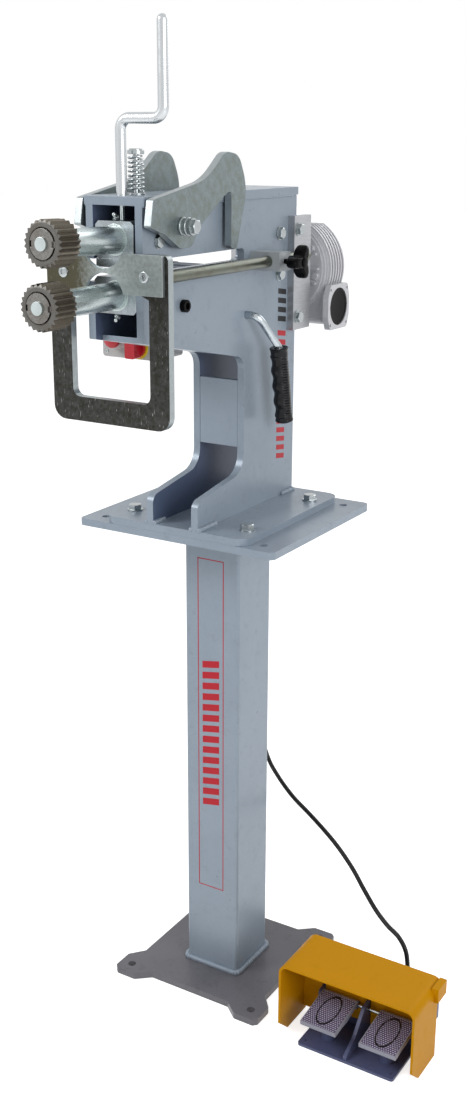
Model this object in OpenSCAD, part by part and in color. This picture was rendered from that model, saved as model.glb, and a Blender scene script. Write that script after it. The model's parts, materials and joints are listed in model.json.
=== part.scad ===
// Motor-driven swaging and jennying machine on a pedestal, with a twin foot switch.
// Sizes are in millimetres. +Z is up, the rolls face -Y and the lever is on the +X side.
// The origin is on the floor, at the centre of the pedestal's four floor holes.

/* [Pedestal] */
// Spacing of the floor holes, both ways
floor_hole_spacing = 250; // [240:1:280]
// Radius of the floor holes
floor_hole_r = 7; // [5:0.5:9]
// Side of the square floor plate
foot_side = 254; // [245:1:270]
// How far the corner tabs stand out of the floor plate
tab_reach = 21; // [16:1:30]
// Thickness of the pedestal's plates
pedestal_plate_t = 12; // [8:1:16]
// Side of the square column tube
column_side = 104; // [80:1:120]
// Wall of the column tube
column_wall = 5; // [3:0.5:8]
// Length of the column tube
column_length = 830; // [650:5:950]
// Width of the pedestal's top plate
top_plate_w = 358; // [320:1:400]
// Depth of the pedestal's top plate
top_plate_d = 326; // [320:1:380]
// Radius of the free holes in the top plate
free_hole_r = 6.5; // [4:0.5:8]

/* [Frame] */
// Thickness of the frame's base plate
base_plate_t = 12; // [8:1:16]
// Width of the frame's base plate
base_plate_w = 262; // [240:1:280]
// Depth of the frame's base plate
base_plate_d = 310; // [305:1:318]
// Spacing of the base bolts across the machine
base_bolt_x = 210; // [190:1:220]
// Spacing of the base bolts along the machine
base_bolt_y = 202; // [180:1:215]
// Thickness of the two side plates
side_t = 12; // [10:0.5:14]
// Clear width between the side plates
side_gap = 70; // [70:0.5:76]
// Depth of the throat, from the head's face to the column
throat_depth = 267; // [250:1:300]
// Depth of the frame's column
column_depth = 160; // [150:1:180]
// Height of the throat slot
throat_h = 31; // [24:1:34]
// Thickness of the bridge plate over the arm
bridge_t = 12; // [8:1:16]

/* [Shafts and rolls] */
// Height of the lower shaft over the frame's base plate
lower_axis_h = 366; // [345:1:390]
// Outer diameter of the rolls
roll_d = 62; // [56:1:64]
// Length of the rolls
roll_length = 43; // [30:1:50]
// Teeth round each roll
roll_teeth = 24; // [16:1:32]
// Least gap between the rolls, with the shafts parallel
roll_clearance = 1.2; // [0.8:0.1:2]
// How far the upper roll stands in front of the head
upper_roll_reach = 153; // [140:1:170]
// How much farther out the lower roll stands
lower_roll_lead = 12; // [0:1:16]
// Diameter of the shafts in front of the head
shaft_d = 37; // [32:0.5:38]
// Diameter of the shafts behind the head
tail_shaft_d = 30; // [26:0.5:32]
// Upward tilt of the upper shaft at rest, in degrees
rest_tilt = 1.75; // [1.7:0.01:1.8]
// Running clearance of a shaft in its bush, on the radius
running_fit = 0.05; // [0.02:0.01:0.1]
// Wall of the bushes
bush_wall = 3; // [2:0.25:3.5]
// Module of the coupling gears
gear_module = 2; // [1.8:0.05:2]
// Face width of the coupling gears
gear_w = 20; // [14:1:22]

/* [Feed screw] */
// Diameter of the crank's rod and screw
crank_d = 15; // [12:0.5:16]
// Radius of the crank's throw
crank_throw = 70; // [50:1:90]
// Height of the crank's arm over the bridge plate
crank_rise = 100; // [90:1:120]
// Length of the crank's upright handle
crank_handle = 127; // [90:1:150]
// Free length of the lift spring
spring_length = 50; // [45:1:60]
// Wire diameter of the lift spring
spring_wire = 3; // [2:0.25:3.5]

/* [Gauge] */
// Half the width of the gauge plate and its frame
gauge_half_w = 97; // [90:1:110]
// Thickness of the gauge plate
gauge_plate_t = 6; // [4:0.5:8]
// Thickness of the gauge frame
gauge_frame_t = 12; // [8:0.5:14]
// Width of the gauge frame's flat bar
gauge_bar_w = 32; // [24:1:36]
// Depth of the gauge frame below the lower shaft
gauge_drop = 177; // [150:1:200]
// Diameter of the gauge's guide rod
guide_rod_d = 17; // [12:0.5:18]

/* [Swing plates and lever] */
// Thickness of the swing plates
swing_t = 12; // [8:0.5:12]
// Diameter of the lever's rod
lever_d = 12; // [10:0.5:14]
// Length of the lever's grip
grip_length = 120; // [100:1:125]
// Diameter of the lever's grip
grip_d = 31; // [26:0.5:34]

/* [Drive] */
// Distance between the worm and the wheel
worm_centres = 63; // [60:1:70]
// Radius of the gear case round its wheel
case_r = 80; // [74:1:84]
// Radius of the gear case's round cover
cover_r = 73; // [65:1:78]
// Radius of the motor's finned body
motor_r = 56; // [50:1:58]
// Length of the motor
motor_length = 200; // [160:1:240]

/* [Foot switch] */
// Place of the foot switch's middle across the floor
pedal_x = 316; // [300:1:400]
// Outer width of the hood
hood_w = 244; // [236:1:270]
// Height of the hood
hood_h = 139; // [130:1:150]
// Depth of the hood
hood_d = 108; // [104:1:120]
// Wall of the hood
hood_wall = 4; // [3:0.5:6]
// Width of each treadle
treadle_w = 65; // [55:1:68]
// Length of each treadle
treadle_length = 83; // [75:1:86]
// Diameter of the control cable
cable_d = 8; // [6:0.5:9]

/* [Hidden] */
$fn = 64;

// Gap between pieces that move past each other without being a fit
air = 0.3;

// Heights, from the floor up
foot_top = pedestal_plate_t;
column_top = foot_top + column_length;
pedestal_top = column_top + pedestal_plate_t;
frame_z = pedestal_top + base_plate_t;
lower_z = frame_z + lower_axis_h;
upper_z = lower_z + roll_d + roll_clearance;
side_top = upper_z + 57;
bridge_top = side_top + bridge_t;

// Places along the machine
plate_front = -165;
column_front = -30;
head_front = column_front - throat_depth;
frame_rear = column_front + column_depth;
rear_bearing_y = column_front + 105;
head_block_d = 65;
screw_y = head_front + 20;
lift_y = head_front + 54;
lift_bolt_r = 5;
lift_washer_t = 2.5;
spring_r = 10.3;

// Places across the machine
side_in = side_gap / 2;
side_out = side_in + side_t;

// Bearing blocks
block_w = side_gap - 6;
block_h = 50;
rear_block_d = 36;
rear_block_h = 44;

shaft_r = shaft_d / 2;
tail_r = tail_shaft_d / 2;
gear_seat_r = tail_r - 2.5;
spigot_r = 12.5;
thread_r = 9;
roll_r = roll_d / 2;
upper_roll_front = head_front - upper_roll_reach;
lower_roll_front = upper_roll_front - lower_roll_lead;
gear_y = rear_bearing_y + rear_block_d / 2 + 5;
gear_teeth = round(roll_d / gear_module);

// Throat slot
throat_z = lower_z + 17;
throat_top = throat_z + throat_h;

// Space between a side plate and its swing plate
swing_gap = 5.5;

// Turns a (y, z) outline into a plate across the machine, from x to x + t
module plate_x(x, t) {
    translate([x, 0, 0]) rotate([90, 0, 90]) linear_extrude(t) children();
}

// Turns an (x, z) outline into a plate along the machine, from y to y + t
module plate_y(y, t) {
    translate([0, y + t, 0]) rotate([90, 0, 0]) linear_extrude(t) children();
}

module rod_x(x, l, y, z, r) {
    translate([x, y, z]) rotate([0, 90, 0]) cylinder(h = l, r = r);
}

module rod_y(y, l, x, z, r) {
    translate([x, y, z]) rotate([-90, 0, 0]) cylinder(h = l, r = r);
}

module rod_z(z, l, x, y, r) {
    translate([x, y, z]) cylinder(h = l, r = r);
}

module block(low, size) {
    translate(low) cube(size);
}

// Both sides of the machine
module both_sides() {
    children();
    mirror([1, 0, 0]) children();
}

// The upper shaft's parts are drawn level and tilted up about the rear trunnions
module tilted() {
    translate([0, rear_bearing_y, upper_z]) rotate([-rest_tilt, 0, 0])
        translate([0, -rear_bearing_y, -upper_z]) children();
}

// Height of a point of the tilted parts, drawn at height z and place y
function tilted_z(y, z) =
    upper_z + (z - upper_z) / cos(rest_tilt) + (rear_bearing_y - y) * tan(rest_tilt);

// An outline whose corners [u, v, radius] are rounded by arcs
function unit(v) = v / norm(v);
function corner_arc(a, b, c, r, steps) =
    let (
        p = unit(a - b),
        q = unit(c - b),
        half = acos(p * q) / 2,
        centre = b + unit(p + q) * r / sin(half),
        start = b + p * r / tan(half) - centre,
        turn = (cross(p, q) < 0 ? 1 : -1) * (180 - 2 * half)
    )
    [for (i = [0 : steps]) let (t = turn * i / steps)
        centre + [start.x * cos(t) - start.y * sin(t), start.x * sin(t) + start.y * cos(t)]];
function rounded(corners, steps = 6) =
    let (n = len(corners))
    [for (i = [0 : n - 1])
        let (a = corners[(i + n - 1) % n], b = corners[i], c = corners[(i + 1) % n])
        each b[2] == 0
            ? [[b.x, b.y]]
            : corner_arc([a.x, a.y], [b.x, b.y], [c.x, c.y], b[2], steps)];

// A hexagon head or nut lying on the z = 0 plane
module hexagon(across_flats, h) {
    cylinder(h = h, r = across_flats / sqrt(3), $fn = 6);
}

// A hex bolt whose washer lies on z = 0, its shank going down
module hex_bolt(r, shank) {
    washer_t = r * 0.35;
    translate([0, 0, -shank]) cylinder(h = shank + washer_t, r = r);
    cylinder(h = washer_t, r = r * 2.1);
    translate([0, 0, washer_t]) hexagon(r * 3.2, r * 1.3);
}

// ---------------------------------------------------------------- pedestal

tab_half = 25;

// One corner of the floor plate, with its chamfered tab
module foot_outline() {
    half = foot_side / 2;
    tip = half + tab_reach;
    near = floor_hole_spacing / 2 - tab_half + 4;
    quarter = [
        [near - tab_reach - 4, half, 4], [near, tip, 6], [tip - 7, tip, 5],
        [tip, tip - 7, 5], [tip, near, 6], [half, near - tab_reach - 4, 4]
    ];
    function turned(k) = [for (p = k % 2 == 0 ? quarter : [for (i = [5 : -1 : 0]) quarter[i]])
        [p.x * (k == 0 || k == 1 ? 1 : -1), p.y * (k == 0 || k == 3 ? 1 : -1), p[2]]];
    polygon(rounded([for (k = [0 : 3]) each turned(k)], 4));
}

module foot_plate() {
    h = floor_hole_spacing / 2;
    color("#8f949b") difference() {
        linear_extrude(foot_top) foot_outline();
        for (x = [-h, h], y = [-h, h]) rod_z(-1, foot_top + 2, x, y, floor_hole_r);
    }
}

// Outline of a square with round corners, centred
function round_square(side, r) =
    let (h = side / 2) rounded([[h, h, r], [-h, h, r], [-h, -h, r], [h, -h, r]]);

module column_tube() {
    outer_r = column_wall * 1.1;
    color("#8f949b") translate([0, 0, foot_top]) linear_extrude(column_length) difference() {
        polygon(round_square(column_side, outer_r));
        polygon(round_square(column_side - 2 * column_wall, outer_r - column_wall));
    }
}

module pedestal_top_plate() {
    free_x = top_plate_w / 2 - 32;
    color("#8f949b") difference() {
        translate([0, plate_front + top_plate_d / 2, column_top]) linear_extrude(pedestal_plate_t)
            polygon(rounded([
                [top_plate_w / 2, top_plate_d / 2, 10], [-top_plate_w / 2, top_plate_d / 2, 10],
                [-top_plate_w / 2, -top_plate_d / 2, 6], [top_plate_w / 2, -top_plate_d / 2, 10]
            ]));
        for (x = [-free_x, free_x], y = [plate_front + 28, plate_front + top_plate_d - 34])
            rod_z(column_top - 1, pedestal_plate_t + 2, x, y, free_hole_r);
        for_base_bolts() rod_z(column_top - 1, pedestal_plate_t + 2, 0, 0, base_bolt_r + 0.5);
    }
}

foot_weld = 9;
head_weld = 6;
plate_weld = 5;

// A fillet weld round the column's foot or under its head
module column_weld(leg) {
    h = column_side / 2;
    for (s = [0 : 3]) rotate([0, 0, 90 * s]) translate([-h, h, 0]) rotate([90, 0, 90])
        linear_extrude(2 * h) polygon([[0, 0], [leg, 0], [0, leg]]);
}

module weld_beads() {
    color("#a3a6ab") {
        translate([0, 0, foot_top]) column_weld(foot_weld);
        translate([0, 0, column_top]) mirror([0, 0, 1]) column_weld(head_weld);
        both_sides() translate([side_out, plate_front + 4, frame_z]) rotate([90, 0, 180])
            translate([0, 0, 0]) mirror([1, 0, 0]) linear_extrude(frame_rear - plate_front - 6)
                polygon([[0, 0], [plate_weld, 0], [0, plate_weld]]);
    }
}

// ---------------------------------------------------------------- frame

base_bolt_r = 6;
base_bolt_front = plate_front + 50;

module for_base_bolts() {
    for (x = [-base_bolt_x / 2, base_bolt_x / 2], y = [base_bolt_front, base_bolt_front + base_bolt_y])
        translate([x, y, 0]) children();
}

module machine_base_plate() {
    color("#8f949b") difference() {
        translate([0, plate_front + base_plate_d / 2, pedestal_top]) linear_extrude(base_plate_t)
            polygon(rounded([for (s = [[1, 1], [-1, 1], [-1, -1], [1, -1]])
                [s.x * base_plate_w / 2, s.y * base_plate_d / 2, 22]]));
        for_base_bolts() rod_z(pedestal_top - 1, base_plate_t + 2, 0, 0, base_bolt_r + 0.5);
    }
}

foot_rise = 58;
foot_tip_rise = 45;
arm_low_front = lower_z - 63;
arm_low_rear = lower_z - 118;

// Outline of a side plate: C-shaped head and arm, column and forward foot
module side_outline(slot_end) {
    difference() {
        polygon(rounded([
            [head_front, side_top, 0], [frame_rear, side_top, 3], [frame_rear, frame_z, 0],
            [plate_front, frame_z, 0], [plate_front, frame_z + foot_tip_rise, 16],
            [column_front, frame_z + foot_rise + 8, 34], [column_front, arm_low_rear, 24],
            [head_front, arm_low_front, 2]
        ]));
        polygon(rounded([
            [head_front - 5, throat_z, 0], [slot_end, throat_z, 8],
            [slot_end, throat_top, 8], [head_front - 5, throat_top, 0]
        ]));
    }
}

lever_y = column_front + 5;
lever_z = lower_z - 53;
swing_y = head_front + 71;
swing_z = side_top - 29;
swing_bolt_r = 6;
stop_y = head_front + 38;
stop_z = upper_z + 9;
bar_front = frame_rear - 27;
bar_depth = 55;
bar_t = 12;
bar_bolt_y = frame_rear - 14;
bar_top = upper_z + 25;
bar_height = 180;
bar_bolt_inset = 21;
side_bolt_r = 5;

// Holes that both side plates share
module side_holes() {
    for (p = [[rear_bearing_y, lower_z], [stop_y, stop_z],
              [bar_bolt_y, bar_top - bar_bolt_inset],
              [bar_bolt_y, bar_top - bar_height + bar_bolt_inset]])
        rod_x(-side_out - 1, 2 * side_out + 2, p[0], p[1], side_bolt_r);
    rod_x(-side_out - 1, 2 * side_out + 2, rear_bearing_y, upper_z, side_bolt_r);
    rod_x(-side_out - 1, 2 * side_out + 2, swing_y, swing_z, swing_bolt_r);
    rod_x(-side_out - 1, 2 * side_out + 2, lever_y, lever_z, lever_d / 2 + running_fit);
}

module near_side_plate() {
    color("#9aa0a8") difference() {
        plate_x(side_in, side_t) side_outline(column_front - 2);
        side_holes();
        bracket_bolt_holes();
    }
}

// The far plate's slot runs on past the column, under the gear end
module far_side_plate() {
    color("#9aa0a8") difference() {
        plate_x(-side_out, side_t) side_outline(frame_rear - 32);
        side_holes();
    }
}

web_t = 8;
web_low = lower_z - 262;
web_high = lower_z - 155;

module web_plate() {
    color("#9aa0a8") block([-side_in, column_front, web_low], [side_gap, web_t, web_high - web_low]);
}

belly_t = 8;

// Sloping floor of the lower arm, between the side plates
module belly_plate() {
    rear = column_front - 24;
    slope = (arm_low_front - arm_low_rear) / (head_front - column_front);
    function low(y) = arm_low_front + (y - head_front) * slope;
    front = head_front + 14;
    color("#9aa0a8") plate_x(-side_in, side_gap) polygon([
        [front, low(front)], [rear, low(rear)],
        [rear, low(rear) + belly_t], [front, low(front) + belly_t]
    ]);
}

bridge_over = 3;

module bridge_plate() {
    color("#9aa0a8") difference() {
        block([-side_out - bridge_over, head_front, side_top],
              [2 * (side_out + bridge_over), frame_rear - head_front, bridge_t]);
        rod_z(side_top - 1, bridge_t + 2, 0, screw_y, crank_d / 2 + running_fit);
        rod_z(side_top - 1, bridge_t + 2, 0, lift_y, lift_bolt_r + 3);
    }
}

// Bolts that hold the base, the lower rear bearing, the stops and the drive, and the lift
// spring's washer
module hex_bolts() {
    grip_base = base_plate_t + pedestal_plate_t + 14;
    color("#c9ccd0") {
        difference() {
            rod_z(bridge_top, lift_washer_t, 0, lift_y, spring_r + 3);
            rod_z(bridge_top - 1, lift_washer_t + 2, 0, lift_y, lift_bolt_r + 3);
        }
        translate([0, 0, frame_z]) for_base_bolts() {
            hex_bolt(base_bolt_r, grip_base);
            translate([0, 0, -base_plate_t - pedestal_plate_t - 10]) hexagon(19, 10);
        }
        both_sides() {
            translate([side_out, rear_bearing_y, lower_z]) rotate([0, 90, 0])
                hex_bolt(side_bolt_r, side_t + 12);
            rod_x(side_in, side_t, stop_y, stop_z, side_bolt_r);
            translate([side_out, stop_y, stop_z]) rotate([0, 90, 0])
                hexagon(side_bolt_r * 3.2, swing_gap - air);
            for (z = [bar_top - bar_bolt_inset, bar_top - bar_height + bar_bolt_inset])
                translate([side_out + bar_t, bar_bolt_y, z]) rotate([0, 90, 0])
                    hex_bolt(side_bolt_r, side_t + bar_t);
        }
    }
}

// Bolts with plain ends, on which the upper rear bearing rocks
module trunnion_bolts() {
    color("#c9ccd0") both_sides() translate([side_out, rear_bearing_y, upper_z]) rotate([0, 90, 0])
        hex_bolt(side_bolt_r, side_t + 12);
}

// ---------------------------------------------------------------- bearings

chamfer = 5;

// A bearing block with chamfered corners, bored for a bush
module bearing_block(y, d, w, h, z, bore) {
    difference() {
        plate_y(y, d) translate([0, z]) polygon([
            [w / 2 - chamfer, h / 2], [chamfer - w / 2, h / 2], [-w / 2, h / 2 - chamfer],
            [-w / 2, chamfer - h / 2], [chamfer - w / 2, -h / 2], [w / 2 - chamfer, -h / 2],
            [w / 2, chamfer - h / 2], [w / 2, h / 2 - chamfer]
        ]);
        rod_y(y - 1, d + 2, 0, z, bore);
    }
}

front_bush_r = shaft_r + running_fit + bush_wall;
rear_bush_r = tail_r + running_fit + bush_wall;
rear_block_w = side_gap - 2 * air;

module lower_front_block() {
    color("#b9bdc2") difference() {
        bearing_block(head_front, head_block_d, side_gap, block_h, lower_z, front_bush_r);
        nipple_hole(lower_z - block_h / 2, 180);
    }
}

module lower_rear_block() {
    color("#b9bdc2") difference() {
        bearing_block(rear_bearing_y - rear_block_d / 2, rear_block_d, side_gap, rear_block_h,
                      lower_z, rear_bush_r);
        rod_x(-side_in - 1, side_gap + 2, rear_bearing_y, lower_z, side_bolt_r);
    }
}

module bush(y, l, z, inner, outer) {
    difference() {
        rod_y(y, l, 0, z, outer);
        rod_y(y - 1, l + 2, 0, z, inner);
    }
}

module bushes(z) {
    bush(head_front, head_block_d, z, shaft_r + running_fit, front_bush_r);
    bush(rear_bearing_y - rear_block_d / 2, rear_block_d, z, tail_r + running_fit, rear_bush_r);
}

module lower_bushes() {
    color("#8d9094") bushes(lower_z);
}

module upper_front_block() {
    color("#b9bdc2") difference() {
        tilted() difference() {
            bearing_block(head_front, head_block_d, block_w, block_h, upper_z, front_bush_r);
            nipple_hole(upper_z + block_h / 2, 0);
        }
        rod_z(lift_bolt_tip, block_h, 0, lift_y, lift_bolt_r);
    }
}

module upper_rear_block() {
    color("#b9bdc2") tilted() difference() {
        bearing_block(rear_bearing_y - rear_block_d / 2, rear_block_d, rear_block_w, rear_block_h,
                      upper_z, rear_bush_r);
        rod_x(-side_in - 1, side_gap + 2, rear_bearing_y, upper_z, side_bolt_r + running_fit);
    }
}

module upper_bushes() {
    color("#8d9094") tilted() bushes(upper_z);
}

nipple_r = 3;
nipple_depth = 1.5;
nipple_lean = 38;

module at_nipple(z, flip) {
    translate([0, head_front + 7, z]) rotate([0, flip, 0]) rotate([nipple_lean, 0, 0]) children();
}

module nipple_hole(z, flip) {
    at_nipple(z, flip) translate([0, 0, -nipple_depth]) cylinder(h = 8, r = nipple_r);
}

// A grease nipple that leans out of the block's front edge
module nipple(z, flip) {
    at_nipple(z, flip) {
        translate([0, 0, -nipple_depth]) cylinder(h = 4 + nipple_depth, r = nipple_r);
        translate([0, 0, 4]) hexagon(8, 3);
        translate([0, 0, 7]) cylinder(h = 4, r = 2.2);
        translate([0, 0, 11]) sphere(r = 3);
    }
}

module lower_nipple() {
    color("#d8d8d8") nipple(lower_z - block_h / 2, 180);
}

module upper_nipple() {
    color("#d8d8d8") tilted() nipple(upper_z + block_h / 2, 0);
}

// ---------------------------------------------------------------- shafts

nut_r = 19.5;
nut_t = 8;
recess_r = 21;
recess_depth = 5;

// A shaft with its front face at roll_front and its tail ending at tail_y
module stepped_shaft(roll_front, tail_y, z) {
    shoulder = roll_front + roll_length;
    journal_end = head_front + head_block_d;
    gear_start = gear_y - 1;
    rod_y(roll_front - 4, shoulder - roll_front + 4, 0, z, thread_r);
    rod_y(roll_front + recess_depth + 1, shoulder - roll_front, 0, z, spigot_r);
    rod_y(shoulder, journal_end - shoulder, 0, z, shaft_r);
    rod_y(journal_end - 1, gear_start - journal_end + 1, 0, z, tail_r);
    rod_y(gear_start - 1, tail_y - gear_start + 1, 0, z, gear_seat_r);
}

// Flat-topped V teeth round a roll
module roll_outline() {
    pitch = 360 / roll_teeth;
    root_r = roll_r - 2.6;
    polygon([for (i = [0 : roll_teeth - 1], k = [[-0.42, 0], [-0.12, 1], [0.12, 1], [0.42, 0]])
        let (a = (i + k[0]) * pitch, r = k[1] == 1 ? roll_r : root_r) [r * cos(a), r * sin(a)]]);
}

module roll(front, z) {
    difference() {
        plate_y(front, roll_length) translate([0, z]) roll_outline();
        rod_y(front - 1, roll_length + 2, 0, z, spigot_r);
        rod_y(front - 1, recess_depth + 1, 0, z, recess_r);
    }
}

// A ring nut with two slots for a peg spanner
module ring_nut(front, z) {
    back = front + recess_depth;
    difference() {
        rod_y(back - nut_t + 2, nut_t - 2, 0, z, nut_r);
        rod_y(back - nut_t - 1, nut_t + 2, 0, z, thread_r);
        for (s = [-1, 1]) block([s * nut_r - 3.5, back - nut_t, z - 4], [7, 5, 8]);
    }
}

// Involute teeth of the coupling gears
pressure_angle = 20;
gear_pitch_r = gear_module * gear_teeth / 2;
gear_base_r = gear_pitch_r * cos(pressure_angle);
gear_tip_r = gear_pitch_r + gear_module * 0.9;
gear_root_r = gear_pitch_r - gear_module * 1.3;
function involute(r) =
    sqrt(pow(r / gear_base_r, 2) - 1) * 180 / PI - acos(gear_base_r / r);
function tooth_half(r) = 84 / gear_teeth + involute(gear_pitch_r) - involute(r);
gear_flank_steps = 3;

module gear_outline(phase) {
    radii = [for (i = [0 : gear_flank_steps])
        gear_base_r + 0.05 + (gear_tip_r - gear_base_r - 0.05) * i / gear_flank_steps];
    pitch = 360 / gear_teeth;
    polygon([for (n = [0 : gear_teeth - 1]) let (mid = phase + n * pitch)
        each concat(
            [gear_root_r * [cos(mid - tooth_half(radii[0])), sin(mid - tooth_half(radii[0]))]],
            [for (r = radii) r * [cos(mid - tooth_half(r)), sin(mid - tooth_half(r))]],
            [for (i = [gear_flank_steps : -1 : 0]) let (r = radii[i])
                r * [cos(mid + tooth_half(r)), sin(mid + tooth_half(r))]],
            [gear_root_r * [cos(mid + tooth_half(radii[0])), sin(mid + tooth_half(radii[0]))]]
        )]);
}

module coupling_gear(z, phase) {
    difference() {
        plate_y(gear_y, gear_w) translate([0, z]) gear_outline(phase);
        rod_y(gear_y - 1, gear_w + 2, 0, z, gear_seat_r);
    }
}

case_y = frame_rear + 85;
case_half = 27;
cover_t = 8;
hub_r = 42;
case_rear = case_y + case_half + cover_t;

module lower_shaft() {
    color("#8d9094") stepped_shaft(lower_roll_front, case_rear - 3, lower_z);
}

module lower_roll() {
    color("#6f6a64") roll(lower_roll_front, lower_z);
}

module lower_roll_nut() {
    color("#7a7570") ring_nut(lower_roll_front, lower_z);
}

module lower_gear() {
    color("#77787a") coupling_gear(lower_z, 90);
}

module upper_shaft() {
    color("#8d9094") tilted() stepped_shaft(upper_roll_front, gear_y + gear_w + 4, upper_z);
}

module upper_roll() {
    color("#6f6a64") tilted() roll(upper_roll_front, upper_z);
}

module upper_roll_nut() {
    color("#7a7570") tilted() ring_nut(upper_roll_front, upper_z);
}

module upper_gear() {
    color("#77787a") tilted() coupling_gear(upper_z, -90 + 180 / gear_teeth);
}

// ---------------------------------------------------------------- feed screw

pin_r = 3.4;
pin_top = side_top + 16;
crank_bend_r = 15;
crank_arm_z = bridge_top + crank_rise;

// A round bar bent from vertical to level and back, as one crank
module crank_screw() {
    r = crank_d / 2;
    b = crank_bend_r;
    color("#c4c7cb") translate([0, screw_y, 0]) difference() {
        union() {
            rod_z(side_top - 1, crank_arm_z - b - side_top + 1, 0, 0, r);
            translate([b, 0, crank_arm_z - b]) rotate([90, 0, 0]) rotate([0, 0, 90])
                rotate_extrude(angle = 90) translate([b, 0]) circle(r = r);
            rod_x(b, crank_throw - 2 * b, 0, crank_arm_z, r);
            translate([crank_throw - b, 0, crank_arm_z + b]) rotate([90, 0, 0])
                rotate([0, 0, -90]) rotate_extrude(angle = 90) translate([b, 0]) circle(r = r);
            rod_z(crank_arm_z + b, crank_handle - b - r, crank_throw, 0, r);
            translate([crank_throw, 0, crank_arm_z + crank_handle - r]) sphere(r = r);
        }
        rod_z(side_top - 2, pin_top - side_top + 2, 0, 0, pin_r + running_fit);
    }
}

// The pin that turns freely in the screw's end and presses on the block
module thrust_pin() {
    low = tilted_z(screw_y - pin_r, upper_z + block_h / 2) + air;
    color("#d0d2d5") rod_z(low, pin_top - 1 - low, 0, screw_y, pin_r);
}

lift_bolt_tip = tilted_z(lift_y, upper_z + block_h / 2) - 2.5;
spring_low = bridge_top + lift_washer_t;
spring_turns = 8;

// The bolt that lifts the upper block, held up by its spring
module lift_bolt() {
    head = spring_low + spring_length + air;
    color("#c9ccd0") {
        rod_z(lift_bolt_tip, head - lift_bolt_tip, 0, lift_y, lift_bolt_r);
        rod_z(head, 6, 0, lift_y, spring_r + spring_wire / 2);
        rod_z(head + 5, 3, 0, lift_y, spring_r - 1);
    }
}

// A tube swept along points, each ring square to the way through its point
function ring_frame(a, b) =
    let (d = unit(b - a), side = unit(cross(d, [1, 1, 1])))
    [side, cross(side, d)];
module swept_tube(path, r, sides) {
    n = len(path);
    points = [for (i = [0 : n - 1])
        let (f = ring_frame(path[max(0, i - 1)], path[min(n - 1, i + 1)]))
        for (k = [0 : sides - 1]) let (a = 360 * k / sides)
            path[i] + r * (cos(a) * f[0] + sin(a) * f[1])];
    faces = [
        [for (k = [sides - 1 : -1 : 0]) k],
        for (i = [0 : n - 2], k = [0 : sides - 1]) let (j = (k + 1) % sides)
            [i * sides + k, i * sides + j, (i + 1) * sides + j, (i + 1) * sides + k],
        [for (k = [0 : sides - 1]) (n - 1) * sides + k]
    ];
    polyhedron(points, faces, convexity = 10);
}

spring_steps = 14;

// The lift spring, between its washer on the bridge plate and the bolt's head
module lift_spring() {
    wire_r = spring_wire / 2;
    rise = (spring_length - spring_wire) / spring_turns;
    color("#c9ccd0") translate([0, lift_y, 0]) {
        swept_tube([for (i = [0 : spring_turns * spring_steps])
            let (t = i / spring_steps)
            [spring_r * cos(360 * t), spring_r * sin(360 * t), spring_low + wire_r + rise * t]],
            wire_r, 8);
    }
}

// ---------------------------------------------------------------- gauge

gauge_back = head_front - 9;
gauge_mid = gauge_back - gauge_frame_t;
gauge_front = gauge_mid - gauge_plate_t;
gauge_low = lower_z + 6;
gauge_high = lower_z + 60;
guide_x = side_out + swing_gap + swing_t + guide_rod_d / 2 + 5;
gauge_screw_x = gauge_half_w - 29.5;
guide_z = lower_z + 28;
gauge_screw_r = 4;

module gauge_plate() {
    neck_low = upper_z + (rear_bearing_y - gauge_front) * tan(rest_tilt);
    color("#9c9d98") difference() {
        plate_y(gauge_front, gauge_plate_t) polygon([
            [-gauge_half_w, gauge_low], [gauge_half_w, gauge_low],
            [gauge_half_w, gauge_high], [-gauge_half_w, gauge_high]
        ]);
        rod_y(gauge_front - 1, gauge_plate_t + 2, 0, neck_low, 36);
        rod_y(gauge_front - 1, gauge_plate_t + 2, 0, lower_z, 33);
        gauge_screw_holes(gauge_front - 1, gauge_plate_t + 2);
    }
}

module gauge_screw_holes(y, l) {
    for (x = [-gauge_screw_x, gauge_screw_x]) rod_y(y, l, x, guide_z + 3, gauge_screw_r);
}

// Flat bar bent to a loop that is open at the top, with a lug at each end
module gauge_frame() {
    left = -gauge_half_w;
    right = gauge_half_w + 5.5;
    inner_left = left + gauge_bar_w + 3;
    inner_right = right - gauge_bar_w;
    low = lower_z - gauge_drop;
    sill = low + gauge_bar_w + 3;
    lug = gauge_screw_x - 12;
    color("#9c9d98") difference() {
        plate_y(gauge_mid, gauge_frame_t) polygon(rounded([
            [left, gauge_high, 8], [left, low, 20], [right, low, 20], [right, gauge_high, 8],
            [lug, gauge_high, 2], [lug, gauge_low, 2], [inner_right, gauge_low - 6, 2],
            [inner_right, sill, 12], [inner_left, sill, 12],
            [inner_left, gauge_low - 6, 2], [-lug, gauge_low, 2], [-lug, gauge_high, 2]
        ]));
        gauge_screw_holes(gauge_mid - 1, gauge_frame_t + 2);
    }
}

// Countersunk-looking button screws through the plate into the lugs
module gauge_screws() {
    color("#c9ccd0") for (x = [-gauge_screw_x, gauge_screw_x]) {
        rod_y(gauge_front, gauge_plate_t + gauge_frame_t - 1, x, guide_z + 3, gauge_screw_r);
        rod_y(gauge_front - 2.5, 2.5, x, guide_z + 3, 8);
    }
}

bracket_front = column_front + 15;
bracket_d = 34;
bracket_h = 28;
bracket_w = 2 * (guide_x - side_out) - 10;
guide_tail = 90;

module guide_rod() {
    length = bracket_front + bracket_d + guide_tail - gauge_back;
    color("#b3ae9c") rod_y(gauge_back, length, guide_x, guide_z, guide_rod_d / 2);
}

knob_screw_r = 4;

module bracket_bolt_holes() {
    for (y = [bracket_front + 8, bracket_front + bracket_d - 8])
        rod_x(side_in - 1, side_t + 2, y, guide_z - bracket_h / 2 + 7, 3);
}

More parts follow.
